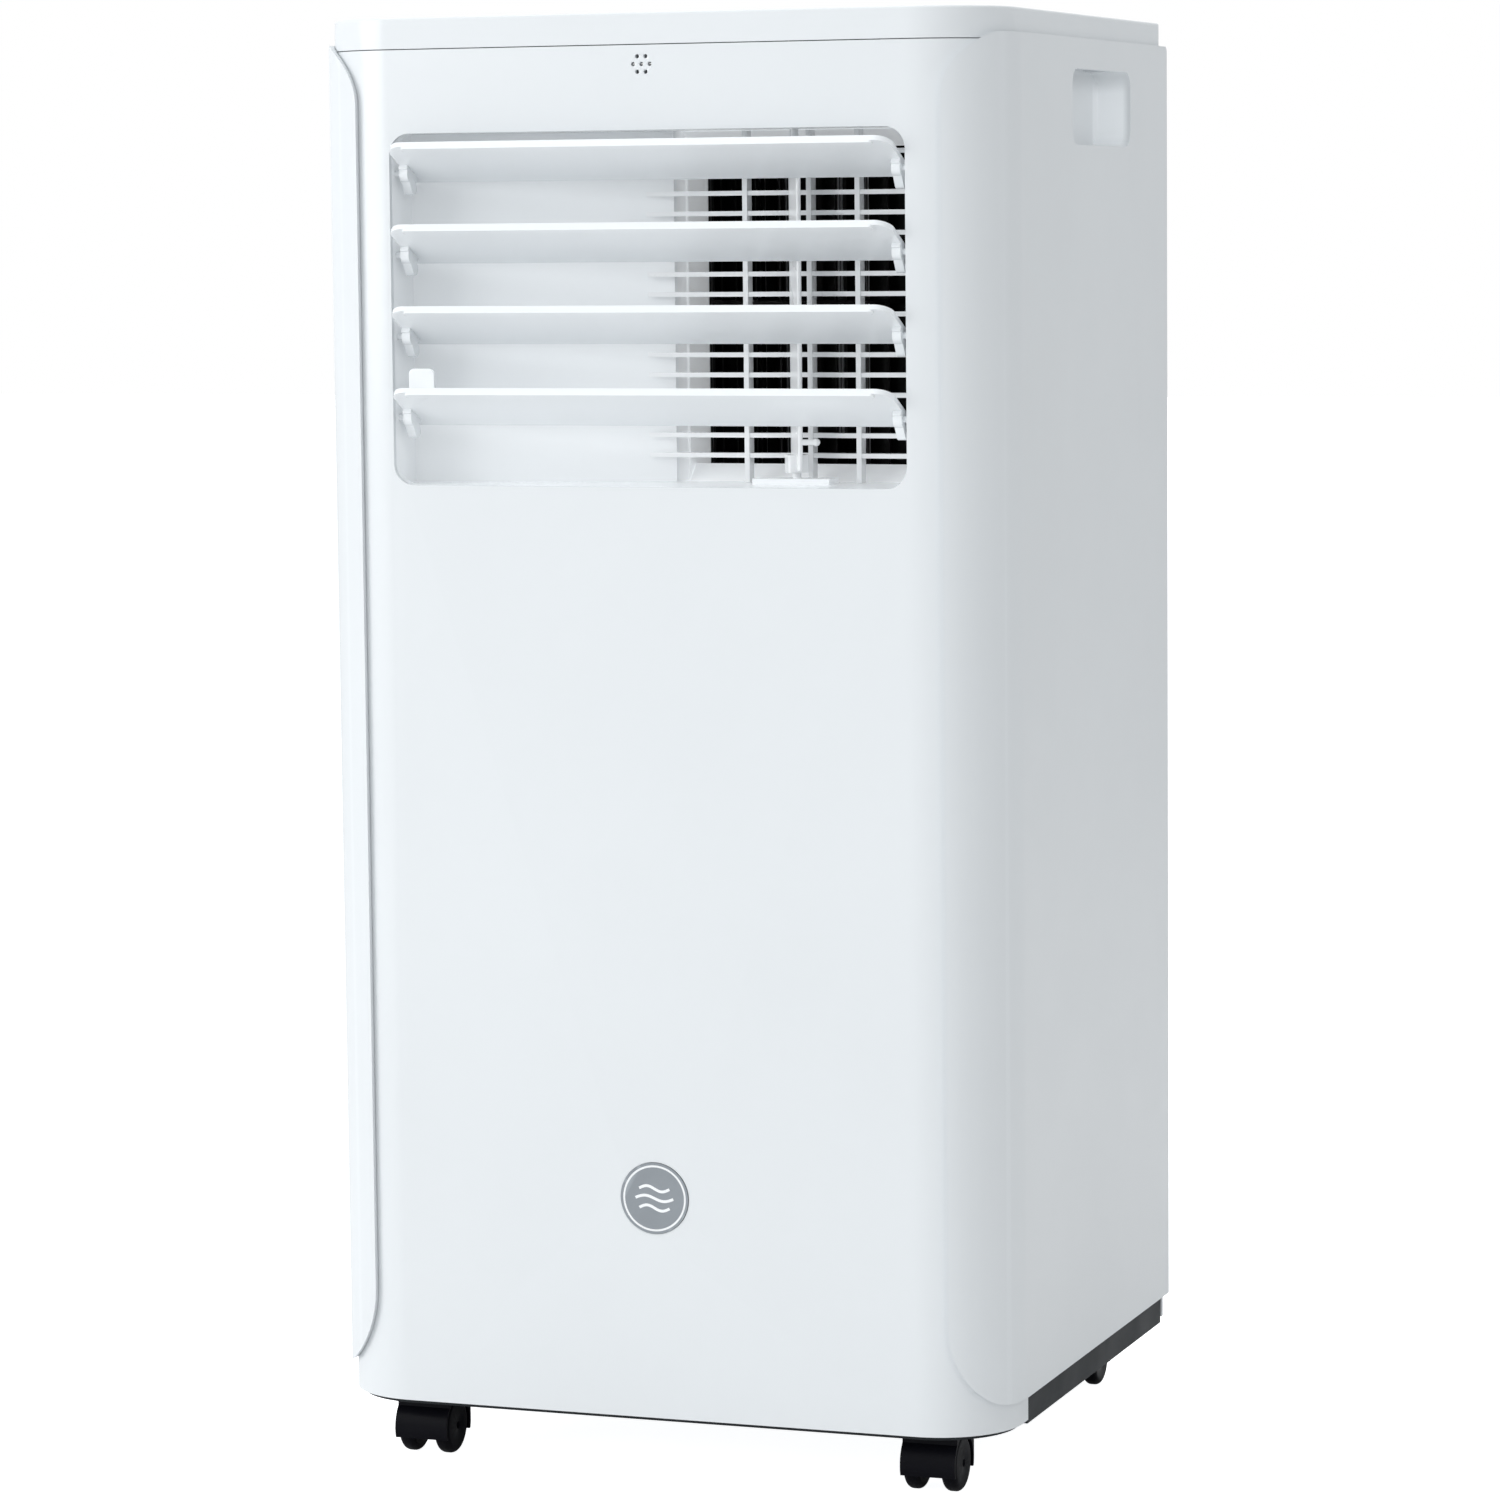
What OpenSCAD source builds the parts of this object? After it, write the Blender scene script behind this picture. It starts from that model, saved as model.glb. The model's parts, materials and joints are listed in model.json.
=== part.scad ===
// Portable room air conditioner: a tall cabinet on four casters with a louvered front outlet.
// Millimetres. X points right as seen from the front, Y to the back, Z up; the floor is Z = 0.

/* [Body] */
// Width over the two side panels
body_w = 343; // [341:1:347]
// Depth from the front face to the side panels' rear edge
body_d = 290; // [288:1:294]
// Height from the floor to the top of the cover
body_h = 692; // [690:1:698]
// Height of the front panel's lower edge above the floor
ground_gap = 32; // [31:0.5:33]
// Radius of the front panel's two vertical corners
corner_r = 40; // [38:1:42]
// How far the side panels stand proud of the front panel
panel_proud = 3; // [2.5:0.5:3.5]
// Height of the top cover's rim
cover_h = 14.6; // [14:0.2:16]

/* [Outlet] */
// Width of the front outlet
outlet_w = 255; // [255:1:257]
// Height of the front outlet
outlet_h = 165; // [164:1:166]
// Corner radius of the front outlet
outlet_r = 10; // [8:1:12]
// Height of the outlet's middle above the floor
outlet_z = 555.5; // [554:0.5:556]
// Spacing of the four louvers
louver_pitch = 38.2; // [38:0.1:38.4]
// Width of one louver from its front edge to its rear edge
louver_chord = 37.6; // [37:0.1:37.6]
// How far the open louvers tip back from level, in degrees
louver_tilt = 26; // [24:1:28]

/* [Casters] */
// Radius of a caster wheel
wheel_r = 13.5; // [13.3:0.1:13.6]
// Distance of each caster's stem from the middle, left and right
caster_x = 129; // [125:1:132]
// Distance from a caster's stem back to its axle
caster_trail = 6; // [5.5:0.5:6]

/* [Rear] */
// Inner radius of the exhaust hose collar
exhaust_r = 57; // [54:0.5:57]
// Radius of the hole for the supply cord
cord_hole_r = 4.2; // [3.5:0.1:4.5]

/* [Hidden] */
$fn = 64;
cut = 1;              // overshoot of a cutting shape
fit = 0.06;           // radial clearance of a running fit
wall = 2.8;           // outer shell
skin = 2.5;           // inner mouldings
seam_gap = 0.4;       // visible joint under the top cover

half_w = body_w / 2;
face_half = half_w - panel_proud;
front_y = -body_d / 2;
back_y = body_d / 2;
corner_x = face_half - corner_r;
corner_y = front_y + corner_r;
wrap_y = front_y + 49;             // rear edge of the front panel's returns
seam_z = body_h - cover_h;
panel_top = seam_z - seam_gap;
side_z0 = ground_gap + 13;         // lower edge of the side panels
side_top = seam_z + 3;             // their upper edge, a lip outside the cover
side_tip_r = 3;                    // rounding of their upper rear corner
cover_back = back_y - 2;           // rear face of the top cover
panel_gap = 0.2;                   // side panel over front panel
side_in = face_half + panel_gap;   // inner face of a side panel
side_r = corner_r + panel_proud;

// The curved front edge of a side panel, measured round its corner
edge_x = 144.5;
edge_angle = asin((edge_x - corner_x) / side_r);
edge_low = [35, 40];               // lower curve, along the corner by height
edge_high = [44, 30];              // upper curve, likewise
edge_high_rise = 28;

// Handle recess in each side panel
grip_y = 26.5;
grip_z = 648;
grip_size = [101, 36];
grip_depth = 18;
grip_r = 8;
grip_lip = 4;                      // thickness of the lip that the fingers hook behind

// Front panel details
badge_z = 137.6;
badge_r = 17;
pinhole_z = 668.2;
pinhole_pitch = 4.1;

// Louvers: u runs back along the blade from the pivot, v away from its visible face
louver_len = 248;
louver_t = 2.4;
lip_t = 3.6;                       // thickened front edge
pivot_u = 24;                      // front edge to pivot
pivot_v = 4.5;                     // visible face to pivot
pivot_y = front_y + 7.2;
pivot_top_z = 619.3;
pivot_r = 1.5;
crank_r = 8;
crank_angle = -58;                 // from straight back, blades open
crank_pin_r = 1.2;
link_x = [125, 126.6];
link_w = 4.8;
bracket_x = [119.8, 124];
tab_x = -107.6;
tab_size = [12.6, 9];

// Air path behind the outlet
duct_half = outlet_w / 2;
duct_y0 = front_y + wall + 0.1;
flange_t = 4.5;
post = [duct_half + 9, outlet_h / 2 + 6];   // screw posts round the outlet
post_r = 3.5;
floor_z = outlet_z - outlet_h / 2;
ceiling_z = outlet_z + outlet_h / 2;
fan_x = 45;
fan_y = -15;
fan_r = 57;
fan_gap = 4.5;
slope_a = [-duct_half, -119];      // slanted wall, from the outlet's side ...
slope_b = [-3.9, -93.7];
slope_c = [-0.5, -85];
slope_d = [2.4, -61.5];            // ... to the edge beside the fan
slope_back = [[-2.5, 2.05], [-1.6, 1.9], [-2.15, 0.55], [-2.2, 0.3]];  // its thickness at each
guard_y = [-98, -92];
guard_bar = 2.2;
guard_pitch = 9.45;
guard_bars = 16;
guard_z0 = floor_z + 12.8;
guard_rib_x = [33.3, 64, 88.9];
guard_bow = [3, 22];               // how far the bars bend back behind the vane, over this half width
vane_x = 61.8;
vane_y = -109;
vane_rest = 33;                    // the vane's turn at rest
vane_chord = 16;

// Coils
coil_y = [100, 130];
coil_half = 136;
row_pitch = 24;
tube_r = 3.5;
tube_y = [108, 122];
evap_z = 452;
evap_rows = 8;
cond_z = 66;
cond_rows = 8;

// Condenser air path
blower_x = 45;
blower_z = 185;
blower_r = 66;
scroll_r = [71, 108];
scroll_y = [25, 90];
port_x = 92;
port_z = 370;
riser_x = [92, 153];
plenum_x = [28.5, 153];
plenum_z = [307, 433];
port_end_y = -pivot_y + pivot_u * cos(louver_tilt) - (pivot_v - lip_t) * sin(louver_tilt);

// Cabinet inside
pan_z0 = 30;
pan_floor = 33.5;
pan_top = 62;
pan_back = 141;
deck_z = 440;
rear_y = [141.9, 144.5];
boss_x = 162;
boss_z = [90, 300, 432, 652];
door_half = 138.4;
door_pin_y = 139.2;
upper_door = [464, 647];
lower_door = [84, 280];
drain_x = -120;
drain_z = 46;
cord_pos = [-120, 340];

// Compressor
comp_x = -90;
comp_y = -62;
comp_r = 56;
foot_ring = 66;
acc_x = -10;
acc_y = -70;
acc_r = 21;

// Top controls
board_y = -95;
panel_size = [196, 50];
key_r = 6.4;
key_x = [-78, -54, -30];
key_top = body_h;
plate_z = [body_h - 4, body_h - 1];

caster_y = [front_y + 25, back_y - 29];
hood_half = 13.5;
hub_half = 4.3;
wheel_in = 5.4;                    // inner face of each wheel

// ---------- shared shapes ----------

// A flat shape drawn in X and Z, made solid from y0 to y1
module along_y(y0, y1) {
  translate([0, y1, 0]) rotate([90, 0, 0]) linear_extrude(y1 - y0) children();
}

// A flat shape drawn in Y and Z, made solid from x0 to x1
module along_x(x0, x1) {
  translate([x0, 0, 0]) rotate([90, 0, 90]) linear_extrude(x1 - x0) children();
}

module along_z(z0, z1) {
  translate([0, 0, z0]) linear_extrude(z1 - z0) children();
}

module box(lo, hi) {
  translate(lo) cube(hi - lo);
}

module rounded_rect(size, r) {
  square([size.x - 2 * r, size.y], center = true);
  square([size.x, size.y - 2 * r], center = true);
  for (x = [-1, 1], y = [-1, 1])
    translate([x * (size.x / 2 - r), y * (size.y / 2 - r)]) circle(r);
}

// Cabinet plan with round front corners, grown outwards and cut square at y_back
module body_plan(grow, y_back) {
  r = corner_r + grow;
  translate([-corner_x, corner_y - r]) square([2 * corner_x, y_back - corner_y + r]);
  translate([-corner_x - r, corner_y]) square([2 * (corner_x + r), y_back - corner_y]);
  for (s = [-1, 1]) translate([s * corner_x, corner_y]) intersection() {
    circle(r);
    translate([-r, -r]) square([2 * r, r]);
  }
}

// A strip of constant width with round ends that follows points
module ribbon(points, width) {
  for (i = [0 : len(points) - 2]) {
    run = points[i + 1] - points[i];
    translate(points[i]) rotate(atan2(run.y, run.x))
      translate([0, -width / 2]) square([norm(run), width]);
  }
  for (p = points) translate(p) circle(width / 2);
}

// Turns X, Y and Z of the children to the three unit vectors a, b and a x b, at a place
module face_to(place, a, b) {
  c = cross(a, b);
  multmatrix([[a.x, b.x, c.x, place.x], [a.y, b.y, c.y, place.y], [a.z, b.z, c.z, place.z],
              [0, 0, 0, 1]]) children();
}

function heading(points, i) = (points[i + 1] - points[i]) / norm(points[i + 1] - points[i]);

// A round pipe along square turns, each rounded to a bend radius
module pipe(points, r, bend) {
  last = len(points) - 2;
  for (i = [0 : last]) {
    d = heading(points, i);
    side = abs(d.z) > 0.5 ? [1, 0, 0] : [0, 0, 1];
    from = points[i] + (i == 0 ? 0 : bend) * d;
    to = points[i + 1] - (i == last ? 0 : bend) * d;
    face_to(from, side, cross(d, side)) cylinder(r = r, h = norm(to - from));
  }
  for (i = [1 : last]) {
    d_in = heading(points, i - 1);
    d_out = heading(points, i);
    face_to(points[i] + bend * (d_out - d_in), -d_out, d_in)
      rotate_extrude(angle = 90) translate([bend, 0]) circle(r);
  }
}

module pin_x(x0, x1, r) {
  translate([x0, 0, 0]) rotate([0, 90, 0]) cylinder(r = r, h = x1 - x0);
}

module pin_y(x, z, y0, y1, r) {
  translate([x, y0, z]) rotate([-90, 0, 0]) cylinder(r = r, h = y1 - y0);
}

// ---------- outer shells ----------

module badge_disc(r, y0, y1) {
  pin_y(0, badge_z, y0, y1, r);
}

module front_panel() {
  color("White") difference() {
    union() {
      along_z(ground_gap, panel_top) difference() {
        body_plan(0, wrap_y);
        body_plan(-wall, wrap_y + cut);
      }
      // Screw posts that take the fan casing's flange
      for (x = [-1, 1], z = [-1, 1])
        pin_y(x * post.x, outlet_z + z * post.y, front_y + 2.5, duct_y0 + flange_t + 0.5, post_r);
    }
    along_y(front_y - cut, duct_y0) translate([0, outlet_z])
      rounded_rect([outlet_w, outlet_h], outlet_r);
    badge_disc(badge_r + 0.2, front_y - cut, front_y + 1);
    pin_y(0, pinhole_z, front_y - cut, duct_y0, 1);
    for (a = [0 : 60 : 300])
      pin_y(pinhole_pitch * cos(a), pinhole_z + pinhole_pitch * sin(a), front_y - cut, duct_y0, 1);
  }
}

module badge() {
  color("SlateGray") difference() {
    badge_disc(badge_r, front_y - 0.4, front_y + 0.95);
    difference() {
      badge_disc(badge_r - 1.2, front_y - cut, front_y - 0.1);
      badge_disc(badge_r - 2.2, front_y - 2 * cut, front_y);
    }
  }
}

// X of a point on the side panel's corner, at a distance round from its front edge
function edge_at(s) = corner_x + side_r * sin(edge_angle + s / side_r * 180 / PI);

function edge_outline() = concat(
  [for (a = [90 : -7.5 : 0])
    [edge_at(edge_low.x * (1 - cos(a))), side_z0 + edge_low.y * (1 - sin(a))]],
  [for (a = [0 : 7 : 70])
    [edge_at(edge_high.x * (1 - cos(a))), side_top - edge_high_rise + edge_high.y * sin(a)]],
  [[half_w + cut, side_top + cut], [half_w + cut, side_z0]]
);

module grip_mouth() {
  along_x(half_w - grip_depth - 8, half_w + cut)
    translate([grip_y, grip_z]) rounded_rect(grip_size, grip_r);
}

// Plan of the recess, with its rear inner corner rounded
module grip_plan(grow) {
  x0 = half_w - grip_depth;
  y0 = grip_y - grip_size.x / 2;
  end_r = 3;
  translate([x0 - grow, y0 - grow])
    square([grip_depth + grow + cut, grip_size.x - end_r + grow]);
  translate([x0 + end_r, y0 - grow])
    square([grip_depth - end_r + cut, grip_size.x + 2 * grow]);
  translate([x0 + end_r, y0 + grip_size.x - end_r]) circle(end_r + grow);
}

module grip_space() {
  intersection() {
    grip_mouth();
    along_z(grip_z - grip_size.y, grip_z + grip_size.y) grip_plan(0);
  }
  // Finger room above the mouth, behind the lip
  box([half_w - grip_depth, grip_y - 42, grip_z],
      [half_w - grip_lip, grip_y + 30, grip_z + grip_size.y / 2 + 7]);
}

module side_panel() {
  grip_low = grip_z - grip_size.y / 2 - skin;
  difference() {
    union() {
      intersection() {
        along_z(side_z0, side_top) difference() {
          body_plan(panel_proud, back_y);
          body_plan(panel_gap, back_y + cut);
        }
        along_y(front_y - panel_proud - cut, back_y + cut) polygon(edge_outline());
      }
      intersection() {
        along_z(grip_low, grip_z + grip_size.y / 2 + 7 + skin) grip_plan(skin);
        box([0, -100, grip_low], [half_w - 1, 120, panel_top]);
      }
      // Rear screw posts
      for (z = boss_z) {
        pin_y(boss_x, z, 127, rear_y[0] - 0.1, 4.5);
        box([boss_x, 127, z - 1.5], [side_in + 1, rear_y[0] - 0.1, z + 1.5]);
      }
      // Ledge that carries the middle deck
      box([159, -80, deck_z - 5], [side_in + 1, 120, deck_z - 0.1]);
    }
    grip_space();
    for (z = boss_z) pin_y(boss_x, z, 129, back_y, 1.62);
    along_x(0, half_w + cut) translate([back_y - side_tip_r, side_top - side_tip_r]) difference() {
      square(side_tip_r + cut);
      circle(side_tip_r);
    }
  }
}

module right_side_panel() {
  color("Gainsboro") side_panel();
}

module left_side_panel() {
  color("Gainsboro") mirror([1, 0, 0]) side_panel();
}

// One corner of the top cover, with its upper edge rounded
module cover_post(r, edge) {
  rotate_extrude() {
    square([r, cover_h - edge]);
    square([r - edge, cover_h]);
    translate([r - edge, cover_h - edge]) circle(edge);
  }
}

module cover_profile(half, edge) {
  translate([-half, 0]) square([2 * half, cover_h - edge]);
  translate([-half + edge, 0]) square([2 * (half - edge), cover_h]);
  for (s = [-1, 1]) translate([s * (half - edge), cover_h - edge]) circle(edge);
}

module cover_block() {
  edge = 1.2;
  rear_r = 3;
  y1 = cover_back;
  mid_y = (front_y + y1) / 2;
  half_d = (y1 - front_y) / 2;
  translate([0, 0, seam_z]) {
    for (s = [-1, 1]) {
      translate([s * corner_x, corner_y, 0]) cover_post(corner_r, edge);
      translate([s * (face_half - rear_r), y1 - rear_r, 0]) cover_post(rear_r, edge);
    }
    along_y(corner_y, y1 - rear_r) cover_profile(face_half, edge);
    along_x(-corner_x, corner_x) translate([mid_y, 0]) cover_profile(half_d, edge);
    // Rear stretch between the small corners
    intersection() {
      along_x(-face_half + rear_r, face_half - rear_r)
        translate([mid_y, 0]) cover_profile(half_d, edge);
      box([-half_w, mid_y, 0], [half_w, back_y, cover_h]);
    }
  }
}

module top_cover() {
  color("White") difference() {
    union() {
      difference() {
        cover_block();
        along_z(seam_z - cut, body_h - wall) body_plan(-wall, cover_back - wall);
      }
      // Seat under the control plate
      along_z(plate_z[0] - 2.5, body_h - wall) translate([0, board_y])
        rounded_rect(panel_size + [6, 6], 14);
    }
    along_z(plate_z[0], body_h + cut) translate([0, board_y])
      rounded_rect(panel_size + [0.6, 0.6], 12.3);
    along_z(seam_z, body_h) translate([0, board_y])
      rounded_rect(panel_size - [6, 6], 9);
  }
}

module pan_plan(inset) {
  body_plan(-wall - 0.4 - inset, pan_back - inset);
  translate([-face_half + 0.5 + inset, wrap_y + 0.4 + inset])
    square([2 * (face_half - 0.5 - inset), pan_back - wrap_y - 0.4 - 2 * inset]);
}

function foot_at(i) = [comp_x + foot_ring * cos(90 + 120 * i), comp_y + foot_ring * sin(90 + 120 * i)];

module base_pan() {
  color("DimGray") difference() {
    union() {
      difference() {
        along_z(pan_z0, pan_top) pan_plan(0);
        along_z(pan_floor, pan_top + cut) pan_plan(3);
      }
      for (x = [-caster_x, caster_x], y = caster_y)
        translate([x, y, pan_z0]) cylinder(r = 10, h = 23);
      for (i = [0 : 2]) translate(foot_at(i)) {
        translate([0, 0, pan_z0]) cylinder(r = 11, h = 10);
        translate([0, 0, pan_z0]) cylinder(r = 4, h = 32);
      }
      // Ribs under the condenser
      for (x = [-110, 0, 110]) box([x - 2, coil_y[0], pan_floor - 1], [x + 2, coil_y[1], cond_z - 0.1]);
      pin_y(drain_x, drain_z, pan_back - 8, rear_y[1] + 1.5, 8.5);
    }
    for (x = [-caster_x, caster_x], y = caster_y)
      translate([x, y, pan_z0 - cut]) cylinder(r = 3, h = 21);
    pin_y(drain_x, drain_z, pan_back - 9, rear_y[1] + 3, 5.5);
  }
}

module door_opening(span) {
  along_y(rear_y[0] - cut, rear_y[1] + cut) translate([0, (span[0] + span[1]) / 2 - 1.2])
    square([2 * door_half + 1.2, span[1] - span[0] + 3.6], center = true);
}

module rear_panel() {
  color("WhiteSmoke") difference() {
    union() {
      along_y(rear_y[0], rear_y[1]) translate([-side_in + 0.3, ground_gap + 1])
        square([2 * side_in - 0.6, panel_top - ground_gap - 1]);
      // Sockets for the doors' hinge pins
      for (x = [-1, 1], span = [upper_door, lower_door])
        box([x * 143.5 - 3.5, 135.5, span[0] - 2], [x * 143.5 + 3.5, rear_y[0] + 0.5, span[0] + 10]);
    }
    door_opening(upper_door);
    door_opening(lower_door);
    for (span = [upper_door, lower_door])
      translate([0, door_pin_y, span[0] + 4]) pin_x(-146, 146, 2 + fit);
    pin_y(port_x, port_z, rear_y[0] - cut, back_y, exhaust_r + 4);
    pin_y(drain_x, drain_z, rear_y[0] - cut, back_y, 8.8);
    pin_y(cord_pos[0], cord_pos[1], rear_y[0] - cut, back_y, 9);
    for (x = [-boss_x, boss_x], z = boss_z) pin_y(x, z, rear_y[0] - cut, back_y, 1.8);
  }
}

// ---------- rear doors and fittings ----------

module door_frame(span) {
  rim = 9;
  slat_pitch = 7.4;
  h = span[1] - span[0];
  slats = floor((h - 2 * rim) / slat_pitch);
  difference() {
    box([-door_half, 137, span[0]], [door_half, rear_y[1] - 0.3, span[1]]);
    box([-door_half + rim, 130, span[0] + rim], [door_half - rim, 150, span[1] - rim]);
    // Room for the filter at the back of the frame
    box([-door_half + 3, 130, span[0] + 7], [door_half - 3, 140.2, span[1] - 3]);
  }
  for (i = [1 : slats])
    box([-door_half + 5, 140.4, span[0] + rim + i * slat_pitch - 5],
        [door_half - 5, rear_y[1] - 0.3, span[0] + rim + i * slat_pitch - 3]);
  for (x = [-66, 0, 66])
    box([x - 1.5, 140.4, span[0] + 5], [x + 1.5, rear_y[1] - 1, span[1] - 5]);
  for (x = [-1, 1])
    translate([x * (door_half + 2), door_pin_y, span[0] + 4]) pin_x(-4.5, 4.5, 2);
}

module filter_screen(span) {
  size = [2 * door_half - 8, span[1] - span[0] - 12];
  translate([0, 0, (span[0] + span[1]) / 2 + 2]) {
    along_y(137.6, 140) difference() {
      square(size, center = true);
      for (x = [-1.5 : 1.5], z = [-1 : 1])
        translate([x * size.x / 4, z * size.y / 3]) square([size.x / 4 - 5, size.y / 3 - 5], center = true);
    }
    along_y(138.6, 139.1) square(size - [2, 2], center = true);
  }
}

module upper_grille() {
  color("White") door_frame(upper_door);
}

module lower_grille() {
  color("White") door_frame(lower_door);
}

module upper_filter() {
  color("DarkSlateGray") filter_screen(upper_door);
}

module lower_filter() {
  color("DarkSlateGray") filter_screen(lower_door);
}

module exhaust_collar() {
  color("WhiteSmoke") difference() {
    union() {
      pin_y(port_x, port_z, 139.2, port_end_y, exhaust_r + 2.5);
      pin_y(port_x, port_z, rear_y[1], rear_y[1] + 2.5, exhaust_r + 11);
      // Bayonet lugs for the hose end
      for (a = [90, 210, 330]) translate([port_x, 0, port_z]) rotate([0, a, 0])
        box([exhaust_r + 1, port_end_y - 5, -6], [exhaust_r + 5, port_end_y - 1, 6]);
    }
    pin_y(port_x, port_z, 130, port_end_y + cut, exhaust_r);
  }
}

module cord_inlet() {
  color("DimGray") difference() {
    union() {
      pin_y(cord_pos[0], cord_pos[1], 137, rear_y[1] + 0.1, 8.9);
      pin_y(cord_pos[0], cord_pos[1], rear_y[1], rear_y[1] + 3, 12);
      pin_y(cord_pos[0], cord_pos[1], rear_y[1], port_end_y - 2, 7);
    }
    pin_y(cord_pos[0], cord_pos[1], 130, port_end_y, cord_hole_r);
  }
}

module drain_plug() {
  y0 = rear_y[1] + 1.6;
  color("Black") union() {
    pin_y(drain_x, drain_z, y0 - 14, y0 + 1, 5.5 - fit);
    pin_y(drain_x, drain_z, y0, y0 + 4, 9);
    box([drain_x - 1.5, y0 + 3, drain_z - 6], [drain_x + 1.5, y0 + 8, drain_z + 6]);
  }
}

module panel_screws() {
  color("Silver") for (x = [-boss_x, boss_x], z = boss_z) difference() {
    union() {
      pin_y(x, z, 131, rear_y[1] + 0.5, 1.6);
      pin_y(x, z, rear_y[1], rear_y[1] + 2, 3.5);
    }
    for (a = [0, 90]) translate([x, 0, z]) rotate([0, a, 0])
      box([-2, rear_y[1] + 1, -0.4], [2, rear_y[1] + 3, 0.4]);
  }
}

// ---------- top controls ----------

module control_panel() {
  color("DarkGray") difference() {
    union() {
      along_z(plate_z[0], plate_z[1]) translate([0, board_y]) rounded_rect(panel_size, 12);
      for (x = [-88, 88], y = [-17, 17])
        translate([x, board_y + y, plate_z[0] - 8]) cylinder(r = 2.5, h = 9);
    }
    for (x = concat(key_x, -key_x[1], -key_x[2]))
      translate([x, board_y, plate_z[0] - cut]) cylinder(r = key_r + 0.35, h = 10);
    box([-19, board_y - 11, plate_z[0] + 1], [19, board_y + 11, body_h]);
    box([-16, board_y - 8, plate_z[0] - cut], [16, board_y + 8, body_h]);
  }
}

module display_window() {
  color("Black") along_z(plate_z[0] + 1.05, plate_z[1] + 0.2) translate([0, board_y])
    rounded_rect([37.6, 21.6], 1);
}

module control_board() {
  z0 = plate_z[0] - 9.8;
  color("DarkGreen") difference() {
    union() {
      along_z(z0, z0 + 1.6) translate([0, board_y]) square([186, 42], center = true);
      for (x = concat(key_x, -key_x[1], -key_x[2]))
        along_z(z0, z0 + 2.2) translate([x, board_y]) square([6, 6], center = true);
      along_z(z0, z0 + 8) translate([0, board_y]) square([30, 14], center = true);
    }
    for (x = [-88, 88], y = [-17, 17])
      translate([x, board_y + y, z0 - cut]) cylinder(r = 1.2, h = 4);
  }
}

module button(x) {
  color("White") translate([x, board_y, 0]) {
    translate([0, 0, plate_z[0] - 1]) cylinder(r = key_r, h = key_top - plate_z[0] + 0.4);
    translate([0, 0, key_top - 0.6]) cylinder(r = key_r - 0.8, h = 0.6);
    translate([0, 0, plate_z[0] - 2.2]) cylinder(r = key_r + 1.4, h = 1.7);
    translate([0, 0, plate_z[0] - 6.4]) cylinder(r = 2, h = 4.3);
  }
}

module button_power() { button(key_x[0]); }
module button_mode() { button(key_x[1]); }
module button_fan() { button(key_x[2]); }
module button_down() { button(-key_x[2]); }
module button_up() { button(-key_x[1]); }

// ---------- outlet: louvers, vane, guard ----------

function crank_local() = crank_r * [cos(crank_angle + louver_tilt), sin(crank_angle + louver_tilt)];

// Blade end: a hanging plate that carries the pivot pin and, on the right, the crank pin
module louver_end(s) {
  crank = crank_local();
  x0 = s > 0 ? bracket_x[0] : -bracket_x[1];
  x1 = s > 0 ? bracket_x[1] : -bracket_x[0];
  along_x(x0, x1) {
    circle(4);
    translate([-5, 0]) square([13, pivot_v - 1]);
    ribbon([[0, 0], crank], 6);
  }
  if (s > 0) {
    pin_x(bracket_x[0], duct_half + 1.8, pivot_r);
    translate([0, crank.x, crank.y]) pin_x(bracket_x[0], link_x[1] + 0.4, crank_pin_r);
  }
  else pin_x(-duct_half - 1.8, -bracket_x[0], pivot_r);
}

module louver_blade() {
  front_r = 8;
  half = louver_len / 2;
  mid_u = louver_chord / 2 - pivot_u;
  translate([0, mid_u, pivot_v - louver_t]) linear_extrude(louver_t)
    difference() {
      rounded_rect([louver_len, louver_chord], 1.2);
      for (s = [-1, 1]) translate([s * (half - front_r), front_r - louver_chord / 2]) difference() {
        translate([s > 0 ? 0 : -front_r - 1, -front_r - 1]) square(front_r + 1);
        circle(front_r);
      }
    }
  // Thickened front edge
  translate([0, -pivot_u + 1.7, pivot_v - lip_t]) linear_extrude(lip_t)
    rounded_rect([louver_len - 2 * front_r, 3.4], 1.6);
  for (s = [-1, 1]) louver_end(s);
}

module louver(i, tab = false) {
  color("WhiteSmoke") translate([0, pivot_y, pivot_top_z - i * louver_pitch])
    rotate([-louver_tilt, 0, 0]) {
      louver_blade();
      // Finger tab on the front edge of the lowest blade
      if (tab) translate([tab_x, 0, 0]) rotate([louver_tilt, 0, 0])
        translate([0, -pivot_u * cos(louver_tilt) + pivot_v * sin(louver_tilt) + 1.6,
                   pivot_u * sin(louver_tilt) + pivot_v * cos(louver_tilt) - 2])
          along_y(-1.2, 1.2) translate([0, tab_size.y / 2]) rounded_rect([tab_size.x, tab_size.y + 4], 2.5);
    }
}

module louver_1() { louver(0); }
module louver_2() { louver(1); }
module louver_3() { louver(2); }
module louver_4() { louver(3, tab = true); }

module louver_link() {
  crank = crank_r * [cos(crank_angle), sin(crank_angle)];
  low = pivot_top_z - 3 * louver_pitch + crank.y;
  high = pivot_top_z + crank.y;
  color("Silver") along_x(link_x[0], link_x[1]) difference() {
    translate([pivot_y + crank.x, 0]) ribbon([[0, low], [0, high]], link_w);
    for (i = [0 : 3]) translate([pivot_y + crank.x, low + i * louver_pitch])
      circle(i == 0 ? crank_pin_r + fit : crank_pin_r + 0.3);
  }
}

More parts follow.
